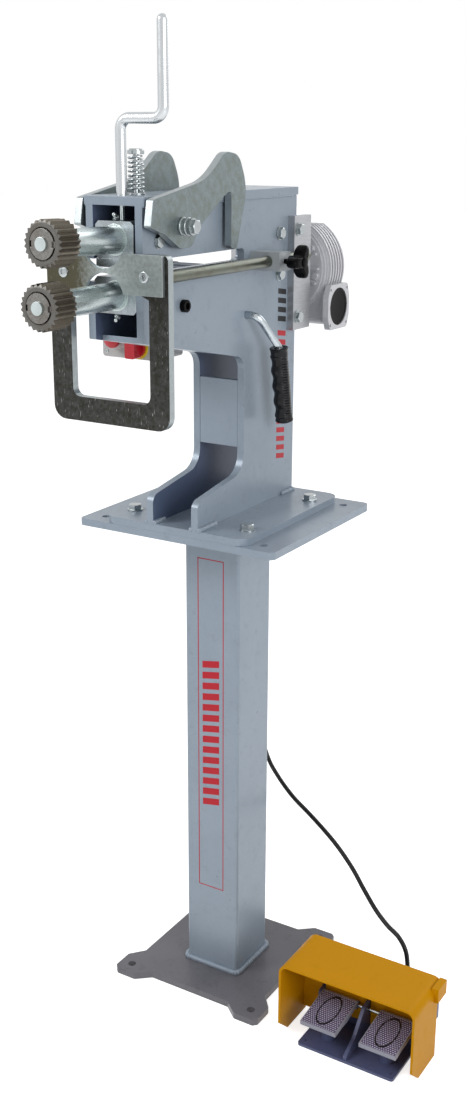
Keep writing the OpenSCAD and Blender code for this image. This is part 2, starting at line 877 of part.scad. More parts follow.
module rod_bracket() {
    mid = bracket_front + bracket_d / 2;
    color("#9aa0a8") difference() {
        block([side_out, bracket_front, guide_z - bracket_h / 2], [bracket_w, bracket_d, bracket_h]);
        rod_y(bracket_front - 1, bracket_d + 2, guide_x, guide_z, guide_rod_d / 2 + running_fit);
        rod_x(guide_x, bracket_w, mid, guide_z, knob_screw_r + running_fit);
    }
}

knob_r = 27;
knob_t = 20;

// A three-lobed clamp knob on its stud
module clamp_knob() {
    mid = bracket_front + bracket_d / 2;
    stud_tip = guide_x + guide_rod_d / 2 + air;
    face = side_out + bracket_w;
    lobe = knob_r * 0.42;
    color("#1a1a1a") {
        rod_x(stud_tip, face + 14 - stud_tip, mid, guide_z, knob_screw_r);
        rod_x(face + 8, 8, mid, guide_z, 9);
        plate_x(face + 14, knob_t) translate([mid, guide_z]) polygon(rounded(
            [for (i = [0 : 2], k = [[-24, 1, 6], [24, 1, 6], [60, 0.42, 9]])
                let (a = 60 + 120 * i + k[0], r = knob_r * k[1] * (k[1] == 1 ? 1.06 : 1))
                [r * cos(a), r * sin(a), k[2]]], 5));
    }
}

// ---------------------------------------------------------------- swing plates and lever

// Outline of a swing plate about its pivot: a straight nose, a high fin and a hanging tail
module swing_outline() {
    polygon(rounded([
        [-69, 38, 4], [62, 60, 110], [113, 98, 28], [150, 93, 27], [174, 45, 60],
        [144, -42, 9], [129, -38, 5], [129, 44, 6], [113, 38, 6], [40, -6, 22],
        [28, -29, 20], [-4, -31, 26], [-42, -9, 50], [-76, 2, 3]
    ], 7));
}

module swing_plate() {
    plate_x(side_out + swing_gap, swing_t) translate([swing_y, swing_z]) difference() {
        swing_outline();
        circle(r = swing_bolt_r + running_fit);
    }
}

module near_swing_plate() {
    color("#8f9188") swing_plate();
}

module far_swing_plate() {
    color("#8f9188") mirror([1, 0, 0]) swing_plate();
}

pivot_stack = 16;

// Pivot bolts of the swing plates, each with its spacer and washers
module swing_pivots() {
    outer = side_out + swing_gap + swing_t + air;
    color("#c9ccd0") both_sides() {
        rod_x(side_in, outer + pivot_stack - side_in, swing_y, swing_z, swing_bolt_r);
        rod_x(side_out, swing_gap - air, swing_y, swing_z, 11);
        for (i = [0 : 3]) rod_x(outer + 4 * i, 3.4, swing_y, swing_z, i % 2 == 0 ? 12.5 : 11);
        rod_x(outer, pivot_stack, swing_y, swing_z, 9.5);
        translate([outer + pivot_stack, swing_y, swing_z]) rotate([0, 90, 0]) hexagon(18, 9);
    }
}

// The lever's rod: out of the side plate, down and back, then down the grip
lever_bend = [side_out + 21, lever_y, lever_z];
lever_neck = [side_out + 33, lever_y + 45, lever_z - 53];
lever_end = [side_out + 35, lever_y + 63, lever_z - 53 - grip_length];
lever_out = lever_bend - [14, 0, 0];
lever_down = lever_bend + 16 * unit(lever_neck - lever_bend);

module lever() {
    r = lever_d / 2;
    collar_t = 8;
    color("#cfd1d4") {
        swept_tube(concat([[-side_out - 4, lever_y, lever_z]], [for (t = [0 : 0.125 : 1])
            (1 - t) * (1 - t) * lever_out + 2 * t * (1 - t) * lever_bend + t * t * lever_down],
            [lever_neck, lever_end]), r, 24);
        rod_x(side_in - air - collar_t, collar_t, lever_y, lever_z, r + 6);
        rod_x(-side_out - air - collar_t, collar_t, lever_y, lever_z, r + 6);
    }
}

grip_waves = 4;

// Moulded grip, swollen at both ends, with a scalloped finger side
module lever_grip() {
    d = lever_end - lever_neck;
    length = norm(d) + 4;
    grip_r = grip_d / 2;
    function swell(t) = grip_r - 2.2 * sin(180 * t) + (t > 0.12 && t < 0.9
        ? 0.7 * sin(360 * grip_waves * t) : 0);
    color("#141414") translate(lever_neck)
        rotate([0, acos(d.z / norm(d)), atan2(d.y, d.x)]) rotate_extrude() polygon(concat(
            [[lever_d / 2 + air, length - 4], [lever_d / 2, 2]],
            [for (i = [0 : 30]) let (t = i / 30) [swell(t) - (t == 0 ? 2 : 0), 2 + t * (length - 5)]],
            [[grip_r - 4, length], [0, length], [0, length - 4]]
        ));
}

// ---------------------------------------------------------------- drive

module mounting_bars() {
    color("#b4b6b8") both_sides() difference() {
        block([side_out, bar_front, bar_top - bar_height], [bar_t, bar_depth, bar_height]);
        for (z = [bar_top - bar_bolt_inset, bar_top - bar_height + bar_bolt_inset])
            rod_x(side_out - 1, bar_t + 2, bar_bolt_y, z, side_bolt_r);
    }
}

adapter_t = 12;
adapter_y = bar_front + bar_depth - adapter_t;

// Plate between the bars that carries the gear case
module adapter_plate() {
    inset = 12;
    color("#9aa0a8") difference() {
        block([-side_out, adapter_y, bar_top - bar_height + inset],
              [2 * side_out, adapter_t, bar_height - 2 * inset]);
        rod_y(adapter_y - 1, adapter_t + 2, 0, lower_z, gear_seat_r + 8);
    }
}

worm_z = lower_z - worm_centres;
worm_half = 38;
worm_reach = 84;
cap_r = 31;
case_rib_pitch = 9;

// Cast worm gear case: a finned drum over the square worm housing
module gearcase() {
    front = case_y - case_half;
    flat_top = lower_z + case_r * 0.87;
    color("#a9abad") difference() {
        union() {
            intersection() {
                union() {
                    rod_y(front, 2 * case_half, 0, lower_z, case_r - 6);
                    for (i = [0 : 5])
                        rod_y(front + 2.5 + i * case_rib_pitch, 4, 0, lower_z, case_r);
                    rod_y(front, 5, 0, lower_z, cover_r + 3);
                }
                block([-case_r - 1, front - 1, lower_z - case_r - 1],
                      [2 * case_r + 2, 2 * case_half + 2, flat_top - lower_z + case_r + 1]);
            }
            plate_x(-worm_reach + 9, 2 * worm_reach - 18) translate([case_y, worm_z])
                polygon(rounded([[case_half, 30, 8], [-case_half, 30, 8], [-case_half, -30, 14],
                    [case_half, -30, 14]]));
            for (s = [-1, 1]) plate_x(s > 0 ? worm_reach - 10 : -worm_reach, 10)
                translate([case_y, worm_z]) difference() {
                    polygon(rounded([for (c = [[1, 16, 8], [0.79, 37, 6], [-0.79, 37, 6],
                        [-1, 16, 8], [-1, -16, 8], [-0.79, -37, 6], [0.79, -37, 6], [1, -16, 8]])
                        [worm_half * c[0], c[1], c[2]]]));
                    for (a = [45 : 90 : 315]) translate([41 * cos(a), 41 * sin(a)]) circle(r = 2.5);
                }
        }
        rod_y(front - 1, 2 * case_half + 2, 0, lower_z, gear_seat_r + 0.5);
        rod_x(worm_reach - 4, 5, case_y, worm_z, cap_r);
    }
}

cover_bolts = 8;

// Round front cover with radial ribs, bolted to the adapter plate by its hub
module gearcase_cover() {
    back = case_y - case_half;
    front = back - cover_t;
    color("#b0b2b4") difference() {
        union() {
            rod_y(front, cover_t, 0, lower_z, cover_r - 4);
            rod_y(front + 3, cover_t - 3, 0, lower_z, cover_r);
            rod_y(adapter_y + adapter_t, front - adapter_y - adapter_t + 1, 0, lower_z, hub_r);
            for (i = [0 : 15]) rotate_about_wheel(22.5 * i)
                block([hub_r - 2, front - 5, -2], [cover_r - 8 - hub_r, 6, 4]);
        }
        rod_y(adapter_y, 2 * cover_t + case_y, 0, lower_z, gear_seat_r + 0.5);
    }
    color("#c9ccd0") for (i = [0 : cover_bolts - 1]) rotate_about_wheel(360 / cover_bolts * i + 11.25)
        translate([cover_r - 14, front, 0]) rotate([90, 0, 0]) hexagon(10, 6);
}

module rotate_about_wheel(a) {
    translate([0, 0, lower_z]) rotate([0, a, 0]) children();
}

motor_fins = 28;

// Finned motor on the far side, with its flange, fan cover and terminal box
module motor() {
    flange_x = -worm_reach - 10;
    body_x = flange_x - motor_length;
    fin_pitch = 360 / motor_fins;
    color("#8b8f94") {
        rod_x(flange_x, 10, case_y, worm_z, motor_r + 4);
        plate_x(body_x + 45, motor_length - 45) translate([case_y, worm_z])
            polygon([for (i = [0 : motor_fins - 1], k = [[-0.3, 0], [-0.2, 1], [0.2, 1], [0.3, 0]])
                let (a = (i + k[0]) * fin_pitch, r = motor_r - (k[1] == 1 ? 0 : 7))
                [r * cos(a), r * sin(a)]]);
        rod_x(body_x + 6, 41, case_y, worm_z, motor_r + 1);
        rod_x(body_x, 8, case_y, worm_z, motor_r - 6);
        block([flange_x - 120, case_y + motor_r - 8, worm_z - 40], [95, 42, 80]);
    }
}

// ---------------------------------------------------------------- controls

box_face = head_front + 167;
box_depth = 70;
box_w = 103;
box_low = lower_z - 119;
box_height = 77;
button_x = -side_out - 74;
button_z = box_low + 31;
isolator_x = -side_out - 35;
isolator_z = box_low + 19;

module control_box() {
    color("#c8c8c6") difference() {
        union() {
            plate_y(box_face, box_depth) polygon(rounded([
                [-side_out - box_w, box_low, 5], [-side_out, box_low, 5],
                [-side_out, box_low + box_height, 5], [-side_out - box_w, box_low + box_height, 5]
            ]));
            rod_y(box_face - 3, 4, button_x, button_z, 12);
            rod_y(box_face - 2, 3, isolator_x, isolator_z, 17);
        }
        rod_y(box_face - 4, 16, button_x, button_z, 6 + running_fit);
        rod_y(box_face - 3, 13, isolator_x, isolator_z, 5 + running_fit);
    }
}

button_travel = 4;

// Mushroom stop button on its stem
module stop_button() {
    color("#c01818") translate([button_x, box_face, button_z]) rotate([90, 0, 0]) {
        translate([0, 0, -11 + button_travel]) cylinder(h = 15, r = 6);
        rotate_extrude() polygon([
            [0, 3 + button_travel], [9, 3 + button_travel], [13, 7 + button_travel],
            [15, 11 + button_travel], [14, 15 + button_travel], [8, 18 + button_travel],
            [0, 19 + button_travel]
        ]);
    }
}

// Turn handle of the isolator, with its grip bar
module isolator_knob() {
    color("#c01818") translate([isolator_x, box_face, isolator_z]) rotate([90, 0, 0]) {
        translate([0, 0, -8]) cylinder(h = 11, r = 5);
        translate([0, 0, 2 + air]) cylinder(h = 5, r = 15);
        translate([0, 0, 6]) linear_extrude(18)
            polygon(rounded([[9, 15, 3], [-9, 15, 3], [-9, -15, 3], [9, -15, 3]]));
    }
}

// ---------------------------------------------------------------- foot switch

hood_front = -146;
hood_x = pedal_x - 4;
treadle_x = pedal_x + 5;
pedal_front = hood_front - 4;
hood_corner_r = 15;
panel_y = hood_front + 85;
housing_y = panel_y + hood_wall;
housing_rear = hood_front + hood_d + 2;
housing_low = 60;
pedal_base_w = 174;
pedal_base_t = 5;
treadle_gap = 42;
treadle_mid = (treadle_gap + treadle_w) / 2;
hinge_y = panel_y - 8;
hinge_z = 54;
hinge_r = 3;
barrel_r = hinge_r + 4;
treadle_t = 8;
treadle_slope = 7;
lug_t = 5;
lug_x = treadle_mid + treadle_w / 2 + 1;
rest_h = 16;
rest_r = 11;

// Floor plate of the foot switch, with the rib between the treadles and their rests
module pedal_base() {
    low_x = pedal_x - pedal_base_w / 2;
    color("#6f7884") difference() {
        union() {
            linear_extrude(pedal_base_t) polygon(rounded([
                [low_x, pedal_front, 5], [low_x + pedal_base_w, pedal_front, 5],
                [low_x + pedal_base_w, housing_rear, 3], [low_x, housing_rear, 3]
            ]));
            plate_x(pedal_x - 3, 6) polygon(rounded([
                [pedal_front + 2, pedal_base_t - 1, 0], [housing_y, pedal_base_t - 1, 0],
                [housing_y, hinge_z + 12, 0], [hinge_y - 12, hinge_z + 10, 8],
                [pedal_front + 36, pedal_base_t + 24, 40], [pedal_front + 2, pedal_base_t + 6, 3]
            ]));
            for (s = [-1, 1])
                rod_z(pedal_base_t - 1, rest_h + 1, treadle_x + s * treadle_mid, pedal_front + 38, rest_r);
        }
        for (s = [-1, 1])
            rod_z(-1, pedal_base_t + 2, pedal_x + s * (pedal_base_w / 2 - 9), pedal_front + 13, 3);
        rod_x(pedal_x - 10, 20, hinge_y, hinge_z, hinge_r);
    }
}

// Switch housing behind the treadles, with the lugs that carry their pin
module pedal_housing() {
    half = hood_w / 2 - hood_wall;
    d = housing_rear - housing_y;
    foot = lug_x + lug_t;
    across = treadle_x - hood_x;
    inner_r = hood_corner_r - hood_wall;
    color("#8a929c") difference() {
        union() {
            plate_y(housing_y, d) translate([hood_x, 0]) polygon(rounded([
                [-half, housing_low, 3], [across - foot, housing_low, 0],
                [across - foot, pedal_base_t, 0], [across + foot, pedal_base_t, 0],
                [across + foot, housing_low, 0], [half, housing_low, 3],
                [half, hood_h - hood_wall, inner_r], [-half, hood_h - hood_wall, inner_r]
            ]));
            for (s = [-1, 1]) translate([treadle_x + s * (lug_x + lug_t / 2) - lug_t / 2, 0, 0])
                plate_x(0, lug_t) polygon(rounded([
                    [housing_y + 1, hinge_z + 8, 0], [hinge_y - 8, hinge_z + 8, 7],
                    [hinge_y - 8, hinge_z - 8, 7], [housing_y + 1, hinge_z - 22, 0]
                ]));
        }
        rod_x(pedal_x - hood_w, 2 * hood_w, hinge_y, hinge_z, hinge_r);
    }
}

// Hood: a top, two side walls that stand on the floor, and a panel over the treadles' rear
module pedal_hood() {
    x0 = hood_x - hood_w / 2;
    rear = hood_front + hood_d;
    side = hood_w / 2 - hood_wall;
    foot = lug_x + lug_t + air;
    across = treadle_x - hood_x;
    inner_r = hood_corner_r - hood_wall;
    inner_top = hood_h - hood_wall;
    color("#e0a010") {
        difference() {
            plate_y(hood_front, hood_d) difference() {
                polygon(rounded([
                    [x0, 0, 0], [x0 + hood_w, 0, 0], [x0 + hood_w, hood_h, hood_corner_r],
                    [x0, hood_h, hood_corner_r]
                ]));
                polygon(rounded([
                    [x0 + hood_wall, -1, 0], [x0 + hood_w - hood_wall, -1, 0],
                    [x0 + hood_w - hood_wall, inner_top, inner_r], [x0 + hood_wall, inner_top, inner_r]
                ]));
            }
            plate_x(x0 - 1, hood_w + 2) polygon(rounded([
                [rear - 16, -1, 0], [rear - 16, inner_top - 32, 8], [rear + 1, inner_top - 28, 0],
                [rear + 1, -1, 0]
            ]));
            plate_x(x0 - 1, hood_w + 2) polygon([
                [hood_front - 1, -1], [hood_front + 28, -1], [hood_front + 27, 0],
                [hood_front - 1, 26]
            ]);
        }
        plate_y(panel_y, hood_wall) translate([hood_x, 0]) polygon(rounded([
            [-side, 8, 0], [across - foot, 8, 0], [across - foot, hinge_z + 12, 0],
            [across + foot, hinge_z + 12, 0], [across + foot, 8, 0], [side, 8, 0],
            [side, inner_top, inner_r], [-side, inner_top, inner_r]
        ]));
        for (s = [-1, 1]) block([hood_x + s * (hood_w / 2 + 2) - 6, rear - 34, hood_h - 25],
                                [12, 34, 25]);
    }
}

// One treadle, with its hinge barrel, sloping down to the front
module treadle(mid) {
    rib_y = 12 - treadle_length;
    color("#9aa0a8") translate([treadle_x + mid, hinge_y, hinge_z]) difference() {
        rotate([treadle_slope, 0, 0]) union() {
            translate([-treadle_w / 2, -treadle_length, 0]) cube([treadle_w, treadle_length, treadle_t]);
            for (x = [-treadle_w / 2 + 3, treadle_w / 2 - 8]) plate_x(x, 5)
                polygon([[0, -6], [0, 2], [rib_y, 2], [rib_y, -3], [rib_y / 2, -9]]);
            rod_x(-treadle_w / 2, treadle_w, 0, 0, barrel_r);
        }
        rod_x(-treadle_w, 2 * treadle_w, 0, 0, hinge_r + running_fit);
    }
}

module left_treadle() {
    treadle(-treadle_mid);
}

module right_treadle() {
    treadle(treadle_mid);
}

module treadle_pin() {
    reach = 2 * (lug_x + lug_t);
    color("#c9ccd0") rod_x(treadle_x - reach / 2, reach, hinge_y, hinge_z, hinge_r);
}

// ---------------------------------------------------------------- cable

cable_r = cable_d / 2;
gland_length = 18;
box_gland = [-side_out - 48, box_face + box_depth, box_low + 37];
pedal_gland = [pedal_x + 38, housing_rear, 57];

module gland(at) {
    translate(at) rotate([-90, 0, 0]) difference() {
        union() {
            hexagon(22, 6);
            translate([0, 0, 6]) cylinder(h = gland_length - 6, r = 8.5);
        }
        translate([0, 0, 8]) cylinder(h = gland_length, r = cable_r + 0.4);
    }
}

module cable_glands() {
    color("#202020") {
        gland(box_gland);
        gland(pedal_gland);
    }
}

// Route of the cable, from the control box down behind the column to the foot switch
cable_route = [
    box_gland + [0, gland_length - 8, 0], box_gland + [0, gland_length + 12, 0],
    [-90, 40, 1146], [-86, 110, 1140], [-80, 160, 1116], [-77, 184, 1060], [-76, 188, 960],
    [-76, 188, 860], [-75, 188, 740], [-72, 187, 620], [-64, 184, 500], [-44, 177, 400],
    [-16, 168, 332], [14, 156, 303], [54, 141, 279], [98, 123, 265], [140, 106, 250],
    [176, 92, 233], [211, 78, 210], [240, 66, 184], [269, 55, 159], [298, 42, 145],
    [324, 31, 138], [341, 24, 122], [347, 22, 98], [350, 17, 74], [353, 5, 61],
    pedal_gland + [0, gland_length + 8, 0], pedal_gland + [0, gland_length - 8, 0]
];

// Points of a smooth curve through the route
function curve_point(p, i, t) =
    let (a = p[max(0, i - 1)], b = p[i], c = p[i + 1], d = p[min(len(p) - 1, i + 2)])
    0.5 * (2 * b + (c - a) * t + (2 * a - 5 * b + 4 * c - d) * t * t
        + (3 * b - 3 * c + d - a) * t * t * t);
function smooth_route(p, steps) = concat(
    [for (i = [0 : len(p) - 2], k = [0 : steps - 1]) curve_point(p, i, k / steps)],
    [p[len(p) - 1]]);

module cable() {
    color("#151515") swept_tube(smooth_route(cable_route, 2), cable_r, 10);
}

foot_plate();
column_tube();
pedestal_top_plate();
weld_beads();
machine_base_plate();
near_side_plate();
far_side_plate();
web_plate();
belly_plate();
bridge_plate();
hex_bolts();
trunnion_bolts();
lower_front_block();
lower_rear_block();
lower_bushes();
lower_nipple();
upper_front_block();
upper_rear_block();
upper_bushes();
upper_nipple();
lower_shaft();
lower_roll();
lower_roll_nut();
lower_gear();
upper_shaft();
upper_roll();
upper_roll_nut();
upper_gear();
crank_screw();
thrust_pin();
lift_bolt();
lift_spring();
gauge_plate();
gauge_frame();
gauge_screws();
guide_rod();
rod_bracket();
clamp_knob();
near_swing_plate();
far_swing_plate();
swing_pivots();
lever();
lever_grip();
mounting_bars();
adapter_plate();
gearcase();
gearcase_cover();
motor();
control_box();
stop_button();
isolator_knob();
pedal_base();
pedal_housing();
pedal_hood();
left_treadle();
right_treadle();
treadle_pin();
cable_glands();
cable();
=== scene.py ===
"""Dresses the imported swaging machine: finishes, small hardware, stage and camera."""
import json
import math
from functools import partial

import bmesh
import bpy
from mathutils import Matrix, Vector

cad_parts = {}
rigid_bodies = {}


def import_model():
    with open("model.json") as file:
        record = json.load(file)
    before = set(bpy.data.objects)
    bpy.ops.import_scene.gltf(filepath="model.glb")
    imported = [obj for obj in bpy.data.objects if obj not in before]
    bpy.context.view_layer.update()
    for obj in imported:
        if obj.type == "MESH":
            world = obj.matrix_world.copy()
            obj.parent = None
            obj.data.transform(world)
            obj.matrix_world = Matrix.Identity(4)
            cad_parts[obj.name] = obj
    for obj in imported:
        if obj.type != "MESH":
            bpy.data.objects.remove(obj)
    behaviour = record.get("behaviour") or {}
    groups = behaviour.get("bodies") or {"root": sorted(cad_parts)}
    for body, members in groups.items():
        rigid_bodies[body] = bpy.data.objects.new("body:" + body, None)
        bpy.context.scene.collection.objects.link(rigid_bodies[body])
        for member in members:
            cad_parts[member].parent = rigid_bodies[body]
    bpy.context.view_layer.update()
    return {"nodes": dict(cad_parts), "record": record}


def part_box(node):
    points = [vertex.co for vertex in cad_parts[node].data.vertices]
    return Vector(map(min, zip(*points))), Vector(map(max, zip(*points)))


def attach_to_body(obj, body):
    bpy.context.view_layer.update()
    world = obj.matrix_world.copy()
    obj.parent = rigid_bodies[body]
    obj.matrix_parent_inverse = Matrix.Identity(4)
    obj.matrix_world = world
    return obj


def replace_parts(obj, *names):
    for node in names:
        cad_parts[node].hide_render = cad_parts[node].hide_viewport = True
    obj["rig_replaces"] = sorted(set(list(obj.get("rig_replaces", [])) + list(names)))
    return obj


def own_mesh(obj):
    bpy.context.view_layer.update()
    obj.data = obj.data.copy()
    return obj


bl_info = {
    "name": "Pedestal Swaging Machine",
    "version": (1, 1, 0),
    "blender": (4, 5, 0),
    "location": "View3D > Sidebar > Swager",
    "description": "Builds the looks of a motor-driven swaging machine with a foot switch",
    "category": "Object",
}

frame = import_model()
BODIES = frame["record"]["behaviour"]["bodies"]
BODY_OF = {node: body for body, nodes in BODIES.items() for node in nodes}
SLOT_OF = {s["node"]: s["material_slot"] for s in frame["record"]["subparts"]}
MM = 0.001
FRAME_Z = 866 * MM  # top of the frame's base plate
LOWER_Z = 1232 * MM  # axis of the lower shaft
UPPER_Z = 1295.2 * MM  # axis of the upper shaft when it is level
SIDE_IN = 35 * MM  # inner and outer face of the side plates
SIDE_OUT = 47 * MM
SIDE_TOP = 1352.2 * MM
BRIDGE_TOP = 1364.2 * MM
REAR_BEARING_Y = 75 * MM  # the upper shaft tilts about this
REST_TILT = math.radians(1.75)
TILTED = (Matrix.Translation((0, REAR_BEARING_Y, UPPER_Z)) @ Matrix.Rotation(-REST_TILT, 4, "X")
          @ Matrix.Translation((0, -REAR_BEARING_Y, -UPPER_Z)))

# Pieces whose finish differs from their slot's.
MATERIAL_OF = {
    "gauge_frame": "gauge_zinc", "gauge_plate": "cap_zinc", "foot_plate": "floor_paint",
    "guide_rod": "rod_steel", "rod_bracket": "bracket_paint", "lever": "tube_zinc",
    "crank_screw": "crank_zinc",
    **{side + "_side_plate": "side_paint" for side in ("near", "far")},
    **{level + "_roll_nut": "nut_steel" for level in ("lower", "upper")},
    **{f"{level}_{end}_block": "block_steel"
       for level in ("lower", "upper") for end in ("front", "rear")}}
# Plates whose rims get a lighter zinc, partly bare cut edge and partly painted highlight, and the
# axis that their faces look along.
PLATE_AXIS = {"near_swing_plate": 0, "far_swing_plate": 0, "gauge_plate": 1, "gauge_frame": 1}
SOFT_EDGED = (*PLATE_AXIS, "gearcase", "gearcase_cover", "pedal_hood")


# ------------------------------------------------------------------ settings


def length(name, text, value, low, high):
    return bpy.props.FloatProperty(
        name=name, description=text, default=value, min=low, max=high, unit="LENGTH")


class SwagerSizes(bpy.types.PropertyGroup):
    """Sizes that the finishing pieces use."""

    edge: length("Plate Edge", "Rounding of the cut plates' edges", 0.0009, 0.0003, 0.003)
    fine_edge: length("Machined Edge", "Rounding of machined and moulded edges",
                      0.0005, 0.0002, 0.002)
    cable: length("Cable Diameter", "Outer diameter of the control cable", 0.008, 0.004, 0.012)
    ripple: length("Weld Ripple", "Distance between the ripples of a weld",
                   0.0036, 0.002, 0.01)
    stripe: length("Border Width", "Width of the painted border on the column",
                   0.0016, 0.0005, 0.005)
    stud: length("Tread Pitch", "Distance between the raised studs of a treadle",
                 0.004, 0.002, 0.008)
    teeth: bpy.props.IntProperty(
        name="Roll Teeth", description="Number of teeth round each roll",
        default=24, min=12, max=40)


def colour(name, text, value):
    return bpy.props.FloatVectorProperty(
        name=name, description=text, default=value, size=3, min=0.0, max=1.0, subtype="COLOR")


class SwagerColours(bpy.types.PropertyGroup):
    """Colours of the finishes, in linear light."""

    paint: colour("Frame Paint", "Silver paint of frame and pedestal", (0.258, 0.315, 0.380))
    zinc: colour("Dull Zinc", "Plating of the swing plates", (0.220, 0.262, 0.275))
    bright: colour("Bright Zinc", "Plating of bolts, crank and lever", (0.43, 0.465, 0.475))
    steel: colour("Ground Steel", "Ground shafts", (0.58, 0.65, 0.65))
    roll: colour("Roll Steel", "Oiled flanks of the rolls' teeth", (0.135, 0.118, 0.092))
    hood: colour("Hood Yellow", "Paint of the foot switch's hood", (0.56, 0.252, 0.0012))
    red: colour("Red", "Buttons and painted stripes", (0.46, 0.008, 0.020))
    pedal: colour("Switch Grey", "Paint of the foot switch's base", (0.078, 0.090, 0.180))


def sizes():
    return bpy.context.scene.swager_sizes


def colours():
    return bpy.context.scene.swager_colours


# ------------------------------------------------------------------ node helpers


def put(tree, socket, value):
    """Gives an input a value, or links it to another node's output."""
    if isinstance(value, bpy.types.NodeSocket):
        tree.links.new(value, socket)
    elif isinstance(value, bpy.types.Node):
        tree.links.new(value.outputs[0], socket)
    elif isinstance(value, tuple) and socket.type == "RGBA":
        socket.default_value = (*value[:3], 1.0)
    else:
        socket.default_value = value


def node(tree, kind, **values):
    """A node whose inputs and properties are set by name."""
    made = tree.nodes.new(kind)
    for key, value in values.items():
        label = key.replace("_", " ")
        if label in made.inputs:
            put(tree, made.inputs[label], value)
        else:
            setattr(made, key, value)
    return made


def maths(operation, tree, a, b=0.0, clamp=False):
    made = tree.nodes.new("ShaderNodeMath")
    made.operation = operation
    made.use_clamp = clamp
    put(tree, made.inputs[0], a)
    put(tree, made.inputs[1], b)
    return made.outputs[0]


plus, minus, times, over, above = (partial(maths, operation) for operation in (
    "ADD", "SUBTRACT", "MULTIPLY", "DIVIDE", "GREATER_THAN"))


def ramp(tree, factor, low, high):
    """0 below low and 1 above high, clamped between."""
    return node(tree, "ShaderNodeMapRange", Value=factor, From_Min=low, From_Max=high).outputs[0]


def mask(tree, pattern, low, high, amount):
    """0 where the pattern is below low, rising to the amount where it is above high."""
    return times(tree, ramp(tree, pattern, low, high), amount)


def mix(tree, factor, a, b, blend="MIX"):
    """Mix of two colours, given as sockets or as tuples."""
    made = tree.nodes.new("ShaderNodeMix")
    made.data_type = "RGBA"
    made.blend_type = blend
    for index, value in ((0, factor), (6, a), (7, b)):
        put(tree, made.inputs[index], value)
    return made.outputs[2]


def noise(tree, vector, scale, detail=3.0, rough=0.5):
    return node(tree, "ShaderNodeTexNoise", Vector=vector, Scale=scale, Detail=detail,
                Roughness=rough).outputs[0]


def vector(tree, x=0.0, y=0.0, z=0.0):
    return node(tree, "ShaderNodeCombineXYZ", X=x, Y=y, Z=z).outputs[0]


def split(tree, source):
    """The x, y and z of a vector."""
    return node(tree, "ShaderNodeSeparateXYZ", Vector=source).outputs


def scaled(tree, source, scale):
    """A vector times another, axis by axis."""
    made = node(tree, "ShaderNodeVectorMath", operation="MULTIPLY")
    put(tree, made.inputs[0], source)
    put(tree, made.inputs[1], scale)
    return made


SOCKET_KIND = {float: "NodeSocketFloat", int: "NodeSocketInt", tuple: "NodeSocketVector"}


def named_tree(name, kind, inputs, outputs):
    """A node group with named inputs, given as (name, default or socket type)."""
    tree = bpy.data.node_groups.new(name, kind)
    for label, default in inputs:
        socket = default if isinstance(default, str) else SOCKET_KIND[type(default)]
        made = tree.interface.new_socket(label, in_out="INPUT", socket_type=socket)
        if not isinstance(default, str):
            made.default_value = default
    for label, socket in outputs:
        tree.interface.new_socket(label, in_out="OUTPUT", socket_type=socket)
    return tree, tree.nodes.new("NodeGroupInput").outputs, tree.nodes.new("NodeGroupOutput").inputs


# ------------------------------------------------------------------ finishes


EFFECT_OUT = [("Color", "NodeSocketColor"), ("Roughness", "NodeSocketFloat"),
              ("Height", "NodeSocketFloat")]


def effect_group(name, *extra):
    return named_tree(name, "ShaderNodeTree",
                      [("Vector", "NodeSocketVector"), ("Color", "NodeSocketColor"), *extra],
                      EFFECT_OUT)


def give(tree, given, out, tint, rough, spread, height):
    """The outputs of an effect; the roughness rises from the gloss by a share of rough."""
    put(tree, out["Color"], tint)
    put(tree, out["Roughness"], plus(tree, times(tree, rough, spread), given["Gloss"]))
    put(tree, out["Height"], height)


def build_sprayed_paint():
    tree, given, out = effect_group("sprayed_paint", ("Flake", 0.25), ("Dirt", 0.3),
                                    ("Gloss", 0.3), ("Bare_Inside", 0.0))
    place = given["Vector"]
    inside = maths("LESS_THAN", tree, maths("ABSOLUTE", tree, split(tree, place)[0]),
                   SIDE_IN + 0.0003)
    # The inner faces of the side plates are painted dark blue: painted shade between the plates.
    painted_inner_shade = times(tree, inside, given["Bare_Inside"])
    flake = noise(tree, place, 2600.0, 1.0)
    cloud = noise(tree, place, 9.0, 4.0)
    smear = noise(tree, place, 55.0, 5.0, 0.65)
    peel = noise(tree, place, 420.0, 2.0)
    light = mix(tree, mask(tree, flake, 0.5, 0.8, given["Flake"]), given["Color"],
                (0.9, 0.93, 0.97))
    dark = mix(tree, mask(tree, cloud, 0.42, 0.8, given["Dirt"]), light,
               (0.62, 0.64, 0.68), "MULTIPLY")
    worn = mix(tree, mask(tree, smear, 0.56, 0.78, given["Dirt"]), dark,
               (0.55, 0.53, 0.50), "MULTIPLY")
    # The dark blue mixed in here is the painted shade of the inner faces.
    give(tree, given, out, mix(tree, painted_inner_shade, worn, (0.050, 0.075, 0.155)), smear, 0.24, peel)


